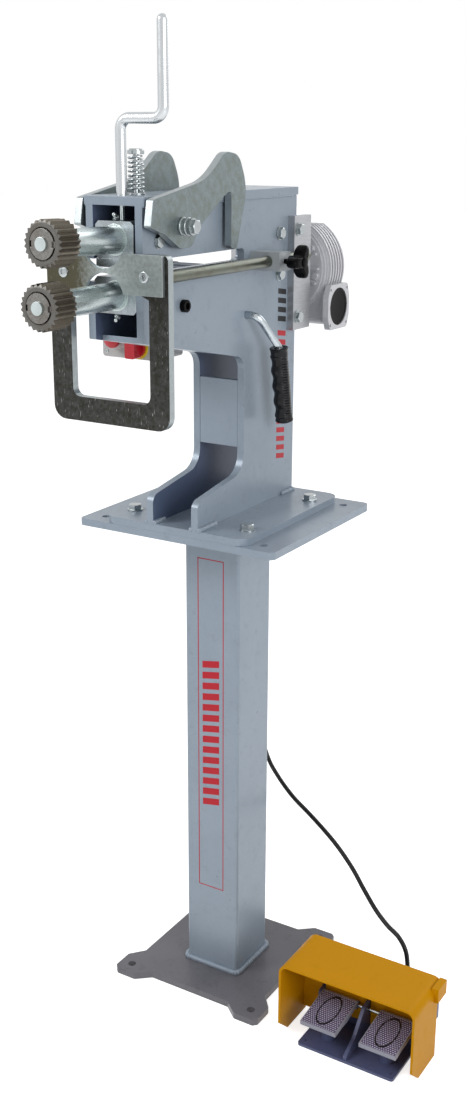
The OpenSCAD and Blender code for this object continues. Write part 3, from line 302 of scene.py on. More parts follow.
def build_plated_metal():
    tree, given, out = effect_group("plated_metal", ("Mottle", 0.5), ("Scale", 60.0),
                                    ("Gloss", 0.18), ("Tarnish", "NodeSocketColor"),
                                    ("Lean", 0.0))
    place, mottle_and_glint = given["Vector"], given["Mottle"]
    broad = noise(tree, place, given["Scale"], 5.0, 0.62)
    fine = noise(tree, place, times(tree, given["Scale"], 8.0), 3.0, 0.6)
    line = noise(tree, scaled(tree, place, (900.0, 900.0, 70.0)), 1.0, 2.0, 0.7)
    # Lean darkens the left of the piece (negative x) towards the tarnish colour: a painted dark
    # reflection.
    left = mask(tree, split(tree, place)[0], 0.0, -0.05, given["Lean"])
    tarnish_and_left_shade = plus(tree, left, mask(tree, broad, 0.36, 0.66, mottle_and_glint), clamp=True)
    tinted = mix(tree, tarnish_and_left_shade, given["Color"], given["Tarnish"])
    speck = times(tree, mask(tree, fine, 0.56, 0.70, mottle_and_glint), 0.7)
    spotted = mix(tree, speck, tinted, (0.07, 0.062, 0.048))
    # Bright streaks along the piece's z are painted highlights; the same amount also sets the real
    # tarnish and specks.
    glint = mask(tree, line, 0.66, 0.78, mottle_and_glint)
    give(tree, given, out, mix(tree, glint, spotted, (0.72, 0.73, 0.70)), broad, 0.30, fine)


def build_machined_grain():
    tree, given, out = effect_group("machined_grain", ("Stretch", (900.0, 900.0, 900.0)),
                                    ("Depth", 0.25), ("Oil", 0.2), ("Gloss", 0.14))
    grain = noise(tree, scaled(tree, given["Vector"], given["Stretch"]), 1.0, 3.0, 0.65)
    film = noise(tree, given["Vector"], 42.0, 4.0, 0.6)
    cut = mix(tree, mask(tree, grain, 0.35, 0.7, given["Depth"]), given["Color"],
              (0.25, 0.24, 0.22), "MULTIPLY")
    oiled = mix(tree, mask(tree, film, 0.46, 0.70, given["Oil"]), cut, (0.085, 0.065, 0.045))
    give(tree, given, out, oiled, grain, 0.28, grain)


def build_moulded_skin():
    tree, given, out = effect_group("moulded_skin", ("Grain", 1800.0), ("Wear", 0.1),
                                    ("Gloss", 0.28))
    grit = noise(tree, given["Vector"], given["Grain"], 2.0)
    rub = noise(tree, given["Vector"], 30.0, 4.0, 0.6)
    worn = mix(tree, mask(tree, rub, 0.5, 0.8, given["Wear"]), given["Color"],
               (0.35, 0.35, 0.35))
    give(tree, given, out, worn, rub, 0.25, grit)


finishes = {}


def finish(name, group, base, metallic=0.0, bump=0.05, distance=0.0002, coat=0.0,
           coat_rough=0.1, specular=0.3, **values):
    """A material: one shared effect group, with its own values, feeds a Principled BSDF."""
    mat = bpy.data.materials.new(name + "_finish")
    finishes[name] = mat
    mat.use_nodes = True
    tree = mat.node_tree
    shader = tree.nodes["Principled BSDF"]
    place = tree.nodes.new("ShaderNodeTexCoord")
    effect = tree.nodes.new("ShaderNodeGroup")
    effect.node_tree = bpy.data.node_groups[group]
    put(tree, effect.inputs["Vector"], place.outputs["Object"])
    put(tree, effect.inputs["Color"], tuple(base))
    for key, value in values.items():
        put(tree, effect.inputs[key], value)
    relief = node(tree, "ShaderNodeBump", Strength=bump, Distance=distance,
                  Height=effect.outputs["Height"])
    put(tree, shader.inputs["Normal"], relief.outputs["Normal"])
    put(tree, shader.inputs["Base Color"], effect.outputs["Color"])
    put(tree, shader.inputs["Roughness"], effect.outputs["Roughness"])
    for key, value in (("Metallic", metallic), ("Coat Weight", coat),
                       ("Coat Roughness", coat_rough), ("Specular IOR Level", specular)):
        shader.inputs[key].default_value = value
    return mat


def build_finishes():
    """Every material of the machine, by name."""
    c = colours()
    for build in (build_sprayed_paint, build_plated_metal, build_machined_grain,
                  build_moulded_skin):
        build()
    paint, metal, grain, skin = "sprayed_paint", "plated_metal", "machined_grain", "moulded_skin"
    olive = (0.165, 0.185, 0.165)
    finish("silver_paint", paint, c.paint, Flake=0.22, Dirt=0.30, Gloss=0.20, metallic=0.12,
           coat=0.12, coat_rough=0.18)
    # Side plates: silver paint with painted shade on their inner faces.
    finish("side_paint", paint, c.paint, Flake=0.22, Dirt=0.30, Gloss=0.20, Bare_Inside=0.8,
           metallic=0.12, coat=0.12, coat_rough=0.18)
    finish("floor_paint", paint, (0.135, 0.130, 0.145), Flake=0.12, Dirt=0.55, Gloss=0.24,
           metallic=0.1, coat=0.1)
    finish("dull_zinc", metal, c.zinc, Mottle=0.7, Scale=90.0, Tarnish=olive, Gloss=0.24,
           metallic=0.85, bump=0.12)
    finish("gauge_zinc", metal, (0.060, 0.062, 0.060), Mottle=0.8, Scale=150.0,
           Tarnish=(0.018, 0.016, 0.011), Gloss=0.20, metallic=0.6, bump=0.25, specular=0.15)
    # The gauge plate's left half is painted darker olive: a painted dark reflection, beside real
    # tarnish mottling.
    finish("cap_zinc", metal, (0.37, 0.42, 0.42), Mottle=0.35, Scale=170.0,
           Tarnish=(0.075, 0.070, 0.045), Gloss=0.24, Lean=0.95, metallic=0.8, bump=0.18)
    # Rim faces are lighter: partly the bare cut edge, partly a painted highlight along the edges.
    finish("rim_zinc", metal, (0.37, 0.41, 0.425), Mottle=0.2, Scale=170.0,
           Tarnish=(0.20, 0.21, 0.20), Gloss=0.2, metallic=0.8)
    finish("rod_steel", grain, (0.15, 0.165, 0.135), Stretch=(1400.0, 40.0, 1400.0), Depth=0.4,
           Oil=0.45, Gloss=0.20, metallic=0.9)
    finish("bright_zinc", metal, c.bright, Mottle=0.16, Scale=160.0,
           Tarnish=(0.26, 0.26, 0.25), Gloss=0.10, metallic=1.0)
    finish("tube_zinc", metal, (0.46, 0.51, 0.54), Mottle=0.10, Scale=90.0,
           Tarnish=(0.20, 0.21, 0.21), Gloss=0.10, metallic=1.0)
    finish("crank_zinc", metal, (0.57, 0.595, 0.615), Mottle=0.14, Scale=90.0,
           Tarnish=(0.30, 0.31, 0.31), Gloss=0.12, metallic=1.0)
    finish("bracket_paint", paint, (0.40, 0.43, 0.45), Flake=0.1, Dirt=0.3, Gloss=0.22,
           metallic=0.1)
    finish("ground_steel", grain, c.steel, Stretch=(1400.0, 60.0, 1400.0), Depth=0.14,
           Oil=0.14, metallic=0.95)
    finish("block_steel", grain, (0.40, 0.45, 0.48), Stretch=(500.0, 500.0, 160.0), Depth=0.3,
           Oil=0.4, Gloss=0.16, metallic=0.8)
    finish("dark_steel", grain, c.roll, Stretch=(500.0, 700.0, 500.0), Depth=0.5, Oil=0.5,
           Gloss=0.20, metallic=0.75, bump=0.12)
    finish("face_steel", grain, (0.160, 0.155, 0.145), Stretch=(700.0, 700.0, 700.0),
           Depth=0.4, Oil=0.35, Gloss=0.28, metallic=0.6, bump=0.08)
    finish("nut_steel", grain, (0.27, 0.262, 0.25), Stretch=(300.0, 300.0, 300.0), Depth=0.5,
           Oil=0.35, metallic=0.9)
    finish("cast_alloy", metal, (0.60, 0.605, 0.635), Mottle=0.2, Scale=160.0,
           Tarnish=(0.42, 0.42, 0.43), Gloss=0.28, metallic=0.25, bump=0.35, distance=0.0004)
    finish("bare_alloy", grain, (0.47, 0.48, 0.50), Stretch=(600.0, 60.0, 600.0), Depth=0.2,
           Oil=0.08, Gloss=0.22, metallic=0.8)
    finish("motor_grey", paint, (0.13, 0.15, 0.18), Flake=0.1, Dirt=0.35, metallic=0.1,
           bump=0.3)
    finish("box_grey", skin, (0.47, 0.47, 0.47), Grain=2400.0, Wear=0.12, bump=0.08)
    finish("red_plastic", skin, c.red, Grain=2400.0, Wear=0.04, Gloss=0.14, bump=0.04,
           coat=0.3)
    finish("black_plastic", skin, (0.003, 0.003, 0.0036), Grain=1500.0, Wear=0.01, Gloss=0.10,
           bump=0.03, specular=0.05)
    finish("grip_rubber", skin, (0.006, 0.0065, 0.008), Grain=1100.0, Wear=0.02, Gloss=0.12,
           bump=0.05, specular=0.22)
    finish("cable_sheath", skin, (0.006, 0.006, 0.007), Grain=1300.0, Wear=0.03, bump=0.06,
           specular=0.25)
    finish("yellow_paint", paint, c.hood, Flake=0.0, Dirt=0.2, Gloss=0.30, bump=0.15,
           specular=0.07)
    finish("pedal_grey", paint, c.pedal, Flake=0.04, Dirt=0.4, bump=0.2, coat=0.05)
    finish("treadle_alloy", paint, (0.30, 0.305, 0.37), Flake=0.05, Dirt=0.4, Gloss=0.34,
           bump=0.2)
    finish("tread_mat", paint, (0.115, 0.092, 0.165), Flake=0.0, Dirt=0.5, Gloss=0.45,
           bump=0.2, specular=0.15)
    finish("tread_stud", paint, (0.53, 0.51, 0.64), Flake=0.0, Dirt=0.4, Gloss=0.40, bump=0.1,
           specular=0.2)
    finish("red_stripe", skin, c.red, Grain=2400.0, Wear=0.02, bump=0.02)
    finish("black_stripe", skin, (0.012, 0.012, 0.014), Grain=2400.0, Wear=0.02, bump=0.02)
    finish("signal_yellow", skin, (0.75, 0.55, 0.02), Grain=2400.0, Wear=0.05, bump=0.03)
    finish("ring_white", skin, (0.62, 0.58, 0.56), Grain=2400.0, Wear=0.05, bump=0.03)


# ------------------------------------------------------------------ mesh helpers


def new_object(name, mesh, material=None):
    made = bpy.data.objects.new(name, mesh)
    bpy.context.scene.collection.objects.link(made)
    if material:
        made.data.materials.clear()
        made.data.materials.append(finishes[material])
    return made


def evaluated_mesh(obj):
    """The object's mesh with its modifiers applied; the modifiers are removed."""
    deps = bpy.context.evaluated_depsgraph_get()
    mesh = bpy.data.meshes.new_from_object(obj.evaluated_get(deps))
    obj.modifiers.clear()
    old = obj.data
    obj.data = mesh
    bpy.data.meshes.remove(old)
    return mesh


def smooth_by_angle(mesh, degrees):
    """Soft shading, with hard edges where faces meet at more than the angle."""
    work = bmesh.new()
    work.from_mesh(mesh)
    limit = math.radians(degrees)
    for face in work.faces:
        face.smooth = True
    for edge in work.edges:
        edge.smooth = len(edge.link_faces) == 2 and edge.calc_face_angle(0.0) < limit
    work.to_mesh(mesh)
    work.free()


def mesh_of(work, name):
    """The bmesh as a new mesh; the bmesh is freed."""
    mesh = bpy.data.meshes.new(name)
    work.to_mesh(mesh)
    work.free()
    return mesh


def merged_copy(name, cuts=()):
    """A clean copy of a CAD node's mesh: merged, cut by planes, with flat faces made whole."""
    work = bmesh.new()
    work.from_mesh(frame["nodes"][name].data)
    bmesh.ops.remove_doubles(work, verts=work.verts, dist=1e-6)
    for place, normal in cuts:
        bmesh.ops.bisect_plane(work, geom=[*work.verts, *work.edges, *work.faces],
                               plane_co=place, plane_no=normal, clear_outer=True)
        bmesh.ops.holes_fill(work, edges=[e for e in work.edges if e.is_boundary], sides=0)
    bmesh.ops.dissolve_degenerate(work, dist=1e-6, edges=work.edges)
    bmesh.ops.dissolve_limit(
        work, angle_limit=math.radians(0.4), verts=work.verts, edges=work.edges)
    return mesh_of(work, name + "_finished")


def round_edges(obj, width, shade=38.0, segments=2, angle=33.0):
    """Rounds the sharp edges and keeps the large flat faces flat in shading."""
    if width > 0:
        bevel = obj.modifiers.new("edges", "BEVEL")
        bevel.width = width
        bevel.segments = segments
        bevel.limit_method = "ANGLE"
        bevel.angle_limit = math.radians(angle)
        evaluated_mesh(obj)
    smooth_by_angle(obj.data, shade)
    flat = obj.modifiers.new("flat_faces", "WEIGHTED_NORMAL")
    flat.keep_sharp = True
    flat.weight = 90
    evaluated_mesh(obj)


def attach(obj, body, nodes=()):
    """The piece rides on a body and stands for CAD nodes."""
    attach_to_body(obj, body)
    if nodes:
        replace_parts(obj, *nodes)
    return obj


def finish_solid(name, width=None, shade=38.0, cuts=()):
    """The CAD node in its finish, with its sharp edges rounded, by default as machined."""
    if width is None:
        width = sizes().fine_edge * (2 if name in SOFT_EDGED else 1)
    material = MATERIAL_OF.get(name, SLOT_OF[name])
    obj = new_object(name + "_finished", merged_copy(name, cuts), material)
    round_edges(obj, width, shade)
    if name in PLATE_AXIS:
        # Faces across the plate axis take the lighter rim zinc: partly bare edge, partly painted
        # highlight.
        obj.data.materials.append(finishes["rim_zinc"])
        for face in obj.data.polygons:
            face.material_index = int(abs(face.normal[PLATE_AXIS[name]]) < 0.5)
    return attach(obj, BODY_OF[name], [name])


def moved_by(x, y, z):
    """Matrix that moves by a distance in mm."""
    return Matrix.Translation(Vector((x, y, z)) * MM)


def aimed(place, direction, turn=0.0):
    """Matrix that puts local z along direction; place in mm."""
    aim = Vector(direction).to_track_quat("Z", "Y").to_matrix().to_4x4()
    return moved_by(*place) @ aim @ Matrix.Rotation(turn, 4, "Z")


def across(place):
    """Matrix that puts local x, y and z along the machine's y, z and x; place in mm."""
    turned = Matrix(((0, 0, 1), (1, 0, 0), (0, 1, 0))).to_4x4()
    return moved_by(*place) @ turned


UPRIGHT = Matrix.Rotation(math.radians(90), 4, "X")  # turns an outline's y upwards


def loft(work, rings, close=False):
    """Skin over rings of points; single points close it, or caps do."""
    made = [[work.verts.new(p) for p in points] for points in rings]
    for a, b in [*zip(made, made[1:]), *([(made[-1], made[0])] if close else [])]:
        steps = max(len(a), len(b))
        for k in range(steps):
            j = (k + 1) % steps
            corners = (a[k % len(a)], a[j % len(a)], b[j % len(b)], b[k % len(b)])
            work.faces.new(list(dict.fromkeys(corners)))
    if not close:
        for cap in (made[0], made[-1]):
            if len(cap) > 1:
                work.faces.new(cap)


def ring(place, radius, height, sides):
    """Points round the place's own z, in mm; the radius may be a function of the angle."""
    angles = [math.tau * k / sides for k in range(sides)]
    radii = [radius(a) if callable(radius) else radius for a in angles]
    return [place @ (Vector((r * math.cos(a), r * math.sin(a), height)) * MM)
            for a, r in zip(angles, radii)]


def lathe(work, profile, place, steps=64):
    """Turns a profile of (radius, height) pairs, in mm, about the place's own z.

    A profile that doesn't start on the axis is closed on itself.
    """
    loft(work, [ring(place, r, h, steps if r else 1) for r, h in profile], profile[0][0] > 0)


def extrude(work, outline, low, high, place):
    """A prism over an outline, in mm."""
    loft(work, [[place @ (Vector((x, y, h)) * MM) for x, y in outline] for h in (low, high)])


def oblong(x0, y0, x1, y1):
    return [(x0, y0), (x1, y0), (x1, y1), (x0, y1)]


def piece(name, work, material, body, nodes=(), width=0.0, shade=38.0):
    """A finished object from a bmesh, in the given material."""
    bmesh.ops.recalc_face_normals(work, faces=work.faces)
    obj = new_object(name, mesh_of(work, name), material)
    round_edges(obj, width, shade)
    return attach(obj, body, nodes)


def turned_piece(name, profile, places, material, body="frame", nodes=(), steps=48):
    """One object of like turned parts, with one at each place."""
    work = bmesh.new()
    for place in places:
        lathe(work, profile, place, steps)
    return piece(name, work, material, body, nodes)


# ------------------------------------------------------------------ geometry nodes


def geometry_tree(name, **inputs):
    """A Geometry Nodes group with named inputs and a material input."""
    labels = [(key.replace("_", " "), value) for key, value in inputs.items()]
    return named_tree(name, "GeometryNodeTree",
                      [("Geometry", "NodeSocketGeometry"), *labels,
                       ("Material", "NodeSocketMaterial")],
                      [("Geometry", "NodeSocketGeometry")])


def close_tree(tree, given, out, *parts, smooth=False):
    """Joins the parts, realizes them and gives them their material."""
    join = tree.nodes.new("GeometryNodeJoinGeometry")
    for part in parts:
        put(tree, join.inputs[0], part)
    last = node(tree, "GeometryNodeRealizeInstances", Geometry=join)
    if smooth:
        last = node(tree, "GeometryNodeSetShadeSmooth", Geometry=last)
    put(tree, out["Geometry"],
        node(tree, "GeometryNodeSetMaterial", Geometry=last, Material=given["Material"]))
    return tree


def named_value(tree, label, kind="FLOAT"):
    return node(tree, "GeometryNodeInputNamedAttribute", data_type=kind, Name=label).outputs[0]


def moved(tree, shape, **values):
    return node(tree, "GeometryNodeTransform", Geometry=shape, **values)


def fastener_tree():
    """Chamfered hex heads on washers, on points that carry their aim and sizes."""
    tree, given, out = geometry_tree("hex_fasteners", Across_Flats=3.2, Head_Height=1.3,
                                     Washer_Radius=2.1, Washer_Height=0.35)
    sixth, flat_top, chamfer = math.pi / 3, 0.93, 0.577
    prism = node(tree, "GeometryNodeMeshCylinder", fill_type="TRIANGLE_FAN", Vertices=12,
                 Side_Segments=1, Fill_Segments=2, Radius=1.0, Depth=1.0)
    x, y, z = split(tree, node(tree, "GeometryNodeInputPosition"))
    radius = maths("SQRT", tree, plus(tree, times(tree, x, x), times(tree, y, y)))
    angle = plus(tree, maths("ARCTAN2", tree, y, x), math.tau)
    fold = minus(tree, maths("MODULO", tree, angle, sixth), sixth / 2)
    half = times(tree, given["Across Flats"], 0.5)
    face = times(tree, half, flat_top)
    corner = over(tree, half, maths("COSINE", tree, fold))
    rim = above(tree, radius, 0.75)
    reach = plus(tree, face, times(tree, rim, minus(tree, corner, face)))
    share = over(tree, reach, maths("MAXIMUM", tree, radius, 0.01))
    drop = times(tree, minus(tree, reach, face), chamfer)
    top = times(tree, above(tree, z, 0.0), minus(tree, given["Head Height"], drop))
    shaped = node(tree, "GeometryNodeSetPosition", Geometry=prism, Position=vector(
        tree, times(tree, x, share), times(tree, y, share),
        plus(tree, top, given["Washer Height"])))
    washer = moved(tree, node(
        tree, "GeometryNodeMeshCylinder", Vertices=32, Radius=given["Washer Radius"],
        Depth=given["Washer Height"]),
        Translation=vector(tree, z=times(tree, given["Washer Height"], 0.5)))
    head = tree.nodes.new("GeometryNodeJoinGeometry")
    for part in (shaped, washer):
        put(tree, head.inputs[0], part)
    shank = moved(tree, node(tree, "GeometryNodeMeshCylinder", Vertices=24, Radius=1.0,
                             Depth=1.0), Translation=(0.0, 0.0, -0.45))
    spin = node(tree, "FunctionNodeAxisAngleToRotation", Angle=named_value(tree, "turn"))
    aim = node(tree, "FunctionNodeAlignRotationToVector",
               Vector=named_value(tree, "aim", "FLOAT_VECTOR"))
    turned = node(tree, "FunctionNodeRotateRotation", rotation_space="LOCAL", Rotation=aim)
    put(tree, turned.inputs[1], spin)
    size = named_value(tree, "size")
    placed = [node(tree, "GeometryNodeInstanceOnPoints", Points=given["Geometry"],
                   Instance=shape, Rotation=turned,
                   Scale=vector(tree, size, size, named_value(tree, tall)))
              for shape, tall in ((head, "tall"), (shank, "reach"))]
    return close_tree(tree, given, out, *placed)


def weld_tree():
    """Overlapping ripples along the edges of a polyline."""
    tree, given, out = geometry_tree("weld_bead", Ripple=0.004, Radius=0.005, Seed=3)
    path = node(tree, "GeometryNodeResampleCurve", mode="LENGTH", Length=given["Ripple"],
                Curve=node(tree, "GeometryNodeMeshToCurve", Mesh=given["Geometry"]))
    ripple = node(tree, "GeometryNodeMeshIcoSphere", Radius=1.0, Subdivisions=3)
    aim = node(tree, "FunctionNodeAlignRotationToVector",
               Vector=node(tree, "GeometryNodeInputTangent").outputs[0])
    jitter = node(tree, "FunctionNodeRandomValue", data_type="FLOAT", Seed=given["Seed"])
    spread = {"Min": 0.90, "Max": 1.08}
    for socket in jitter.inputs:
        if socket.type == "VALUE" and socket.name in spread:
            socket.default_value = spread[socket.name]
    wide = times(tree, given["Radius"], next(s for s in jitter.outputs if s.type == "VALUE"))
    beads = node(tree, "GeometryNodeInstanceOnPoints", Points=path, Instance=ripple,
                 Rotation=aim, Scale=vector(tree, wide, wide,
                                            times(tree, given["Ripple"], 1.05)))
    return close_tree(tree, given, out, beads, smooth=True)


def tooth_tree():
    """Pointed teeth round the local z axis, joined to the given core."""
    tree, given, out = geometry_tree("roll_teeth", Teeth=24, Root=0.0270, Tip=0.031,
                                     Length=0.0416, Start=0.0007, Land=0.10, Chamfer=0.0016,
                                     Face_Material="NodeSocketMaterial")
    sink = 0.0004
    block = node(tree, "GeometryNodeMeshCube", Size=(1.0, 1.0, 1.0))
    x, y, z = split(tree, node(tree, "GeometryNodeInputPosition"))
    outer = above(tree, x, 0.0)
    height = plus(tree, minus(tree, given["Tip"], given["Root"]), sink)
    width = over(tree, times(tree, given["Root"], math.tau), given["Teeth"])
    taper = minus(tree, 1.0, times(tree, outer, minus(tree, 1.0, given["Land"])))
    shorten = times(tree, outer, times(tree, given["Chamfer"], 2.0))
    middle = plus(tree, given["Start"], times(tree, given["Length"], 0.5))
    tooth = node(tree, "GeometryNodeSetPosition", Geometry=block, Position=vector(
        tree, minus(tree, times(tree, outer, height), sink),
        times(tree, times(tree, y, width), taper),
        plus(tree, times(tree, z, minus(tree, given["Length"], shorten)), middle)))
    circle = node(tree, "GeometryNodeMeshCircle", Vertices=given["Teeth"],
                  Radius=given["Root"])
    aim = node(tree, "FunctionNodeAlignRotationToVector", axis="X", pivot_axis="Z",
               Vector=node(tree, "GeometryNodeInputPosition"))
    teeth = node(tree, "GeometryNodeInstanceOnPoints", Points=circle, Instance=tooth,
                 Rotation=aim)
    close_tree(tree, given, out, given["Geometry"], teeth)
    dressed = out["Geometry"].links[0].from_node
    lean = maths("ABSOLUTE", tree, split(tree, node(tree, "GeometryNodeInputNormal"))[2])
    put(tree, out["Geometry"], node(
        tree, "GeometryNodeSetMaterial", Geometry=dressed, Selection=above(tree, lean, 0.6),
        Material=given["Face Material"]))
    return tree


def tread_tree():
    """Rows of small raised lozenges over a treadle, every second row set over by half."""
    tree, given, out = geometry_tree("tread_studs", Width=0.056, Length=0.072, Pitch=0.004,
                                     Height=0.0007)
    stud = node(tree, "GeometryNodeMeshCone", Vertices=4, Side_Segments=1, Radius_Top=0.35,
                Radius_Bottom=1.0, Depth=1.0)
    pitch = given["Pitch"]
    wide = plus(tree, 1.01, over(tree, given["Width"], pitch))
    long = plus(tree, 1.01, over(tree, given["Length"], times(tree, pitch, 2.0)))
    size = vector(tree, times(tree, pitch, 0.42), times(tree, pitch, 0.26), given["Height"])
    rows = []
    for shift in (-0.25, 0.25):
        grid = node(tree, "GeometryNodeMeshGrid", Size_X=given["Width"],
                    Size_Y=given["Length"], Vertices_X=wide, Vertices_Y=long)
        offset = vector(tree, times(tree, pitch, shift), times(tree, pitch, 2.0 * shift))
        rows.append(node(tree, "GeometryNodeInstanceOnPoints", Instance=stud, Scale=size,
                         Points=moved(tree, grid, Translation=offset)))
    return close_tree(tree, given, out, *rows)


def grow(obj, tree, **values):
    """Runs a tree on an object and leaves a plain mesh."""
    made = obj.modifiers.new("grow", "NODES")
    made.node_group = tree
    for item in tree.interface.items_tree:
        key = item.name.replace(" ", "_")
        if item.in_out == "INPUT" and key in values:
            made[item.identifier] = values[key]
    return evaluated_mesh(obj)


def point_object(name, places, edges=(), **attributes):
    """A mesh of loose points or polylines, in mm, with values on its points."""
    mesh = bpy.data.meshes.new(name)
    mesh.from_pydata([Vector(p) * MM for p in places], edges, [])
    for label, values in attributes.items():
        many = isinstance(values[0], tuple)
        layer = mesh.attributes.new(label, "FLOAT_VECTOR" if many else "FLOAT", "POINT")
        flat = [v for row in values for v in row] if many else values
        layer.data.foreach_set("vector" if many else "value", flat)
    return new_object(name, mesh)


# ------------------------------------------------------------------ operators


class OperatorBase:
    bl_options = {"REGISTER", "UNDO"}


CAMERA_PLACE = (1.0903, -1.7706, 1.4483)
CAMERA_LENS = 42.99
CAMERA_TURN = (31.4, 17.7, 0.2)  # azimuth, downward pitch and roll, in degrees
WORLD_LIGHT, WORLD_SEEN = 0.46, 1.0
FLOOR_GLOW, FLOOR_HALF, FLOOR_Z = 0.72, 22.0, -0.0004
LAMPS = (  # name, place, aim, power and size
    ("key", (-1.9, -2.4, 2.9), (0.0, 0.0, 0.9), 60.0, 1.4),
    ("fill", (3.2, -1.2, 1.8), (0.0, 0.0, 0.8), 46.0, 1.8),
    ("rim", (0.6, 2.8, 2.6), (0.0, 0.0, 1.0), 22.0, 2.0))


class SWAGER_OT_stage(OperatorBase, bpy.types.Operator):
    """Sets the camera, the lamps, the floor and the backdrop"""

    bl_idname = "swager.stage"
    bl_label = "Stage"

    def execute(self, context):
        context.scene.view_settings.view_transform = "Standard"
        self.camera(context.scene)
        self.world(context.scene)
        self.lamps()
        self.floor()
        return {"FINISHED"}

    def camera(self, scene):
        data = bpy.data.cameras.new("camera")
        data.sensor_fit = "AUTO"
        data.sensor_width = 36.0
        data.lens = CAMERA_LENS
        data.clip_end = 60.0
        cam = bpy.data.objects.new("camera", data)
        azimuth, pitch, roll = map(math.radians, CAMERA_TURN)
        forward = Vector((-math.sin(azimuth) * math.cos(pitch),
                          math.cos(azimuth) * math.cos(pitch), -math.sin(pitch)))
        right = Vector((math.cos(azimuth), math.sin(azimuth), 0.0))
        up = right.cross(forward)
        side = right * math.cos(roll) + up * math.sin(roll)
        top = up * math.cos(roll) - right * math.sin(roll)
        turn = Matrix((side, top, -forward)).transposed().to_4x4()
        cam.matrix_world = Matrix.Translation(CAMERA_PLACE) @ turn
        scene.collection.objects.link(cam)
        scene.camera = cam

    def background_share(self, tree):
        """1 for the rays that see the background: camera, glossy and transmission."""
        rays = tree.nodes.new("ShaderNodeLightPath").outputs
        shown = maths("MAXIMUM", tree, rays["Is Camera Ray"], rays["Is Glossy Ray"])
        return maths("MAXIMUM", tree, shown, rays["Is Transmission Ray"])

    def world(self, scene):
        world = bpy.data.worlds.new("studio")
        world.use_nodes = True
        tree = world.node_tree
        tree.nodes.clear()
        lit, seen = (node(tree, "ShaderNodeBackground", Color=(1.0, 1.0, 1.0), Strength=power)
                     for power in (WORLD_LIGHT, WORLD_SEEN))
        blend = tree.nodes.new("ShaderNodeMixShader")
        for socket, source in zip(blend.inputs, (self.background_share(tree), lit, seen)):
            put(tree, socket, source)
        put(tree, tree.nodes.new("ShaderNodeOutputWorld").inputs[0], blend)
        scene.world = world

    def lamps(self):
        for name, place, aim, power, size in LAMPS:
            data = bpy.data.lights.new(name, "AREA")
            data.energy = power
            data.size = size
            lamp = bpy.data.objects.new(name, data)
            lamp.location = place
            lamp.rotation_euler = (Vector(aim) - Vector(place)).to_track_quat("-Z", "Y").to_euler()
            bpy.context.scene.collection.objects.link(lamp)

    def floor(self):
        """A pale floor that keeps the shadow and is white to the camera elsewhere."""
        mat = finishes["studio_floor"] = bpy.data.materials.new("studio_floor")
        mat.use_nodes = True
        tree = mat.node_tree
        shader = tree.nodes["Principled BSDF"]
        for key, value in (("Base Color", (0.80, 0.80, 0.80, 1.0)), ("Roughness", 0.9),
                           ("Specular IOR Level", 0.1)):
            shader.inputs[key].default_value = value
        glow = node(tree, "ShaderNodeEmission", Color=(1.0, 1.0, 1.0),
                    Strength=times(tree, self.background_share(tree), FLOOR_GLOW))
        both = tree.nodes.new("ShaderNodeAddShader")
        put(tree, both.inputs[0], shader)
        put(tree, both.inputs[1], glow)
        put(tree, tree.nodes["Material Output"].inputs[0], both)
        mesh = bpy.data.meshes.new("floor")
        corners = oblong(-FLOOR_HALF, -FLOOR_HALF, FLOOR_HALF, FLOOR_HALF)
        mesh.from_pydata([(x, y, FLOOR_Z) for x, y in corners], [], [(0, 1, 2, 3)])
        new_object("floor", mesh, "studio_floor")


class SWAGER_OT_finishes(OperatorBase, bpy.types.Operator):
    """Makes the paints, platings and plastics"""

    bl_idname = "swager.finishes"
    bl_label = "Finishes"

    def execute(self, context):
        build_finishes()
        return {"FINISHED"}


BOX_GLAND = Vector((-95.0, -60.0, 1150.0))
PEDAL_GLAND = Vector((354.0, -36.0, 57.0))
GLAND = Vector((0.0, 18.0, 0.0))
CABLE_ROUTE = [
    BOX_GLAND + GLAND - Vector((0, 8, 0)), BOX_GLAND + GLAND + Vector((0, 12, 0)),
    *(Vector(p) for p in (
        (-90, 40, 1146), (-86, 110, 1140), (-80, 160, 1116), (-77, 184, 1060), (-76, 188, 960),
        (-76, 188, 860), (-75, 188, 740), (-72, 187, 620), (-64, 184, 500), (-44, 177, 400),
        (-16, 168, 332), (14, 156, 303), (54, 141, 279), (98, 123, 265), (140, 106, 250),
        (176, 92, 233), (211, 78, 210), (240, 66, 184), (269, 55, 159), (298, 42, 145),
        (324, 31, 138), (341, 24, 122), (347, 22, 98), (350, 17, 74), (353, 5, 61))),
    PEDAL_GLAND + GLAND + Vector((0, 8, 0)), PEDAL_GLAND + GLAND - Vector((0, 8, 0)),
]


def smooth_path(points, steps):
    """Points of a smooth curve through the given points."""
    path = []
    for i in range(len(points) - 1):
        a, b = points[max(0, i - 1)], points[i]
        c, d = points[i + 1], points[min(len(points) - 1, i + 2)]
        for k in range(steps):
            t = k / steps
            path.append(0.5 * (2 * b + (c - a) * t + (2 * a - 5 * b + 4 * c - d) * t * t
                               + (3 * b - 3 * c + d - a) * t ** 3))
    path.append(points[-1])
    return path


def tube(work, path, radii, sides=24):
    """A closed tube round a path, in mm, with a radius for each of its points."""
    ahead = [b - a for a, b in zip([path[0], *path], [*path[1:], path[-1]])]
    loft(work, [ring(aimed(place, way), r, 0, sides)
                for place, way, r in zip(path, ahead, radii)])


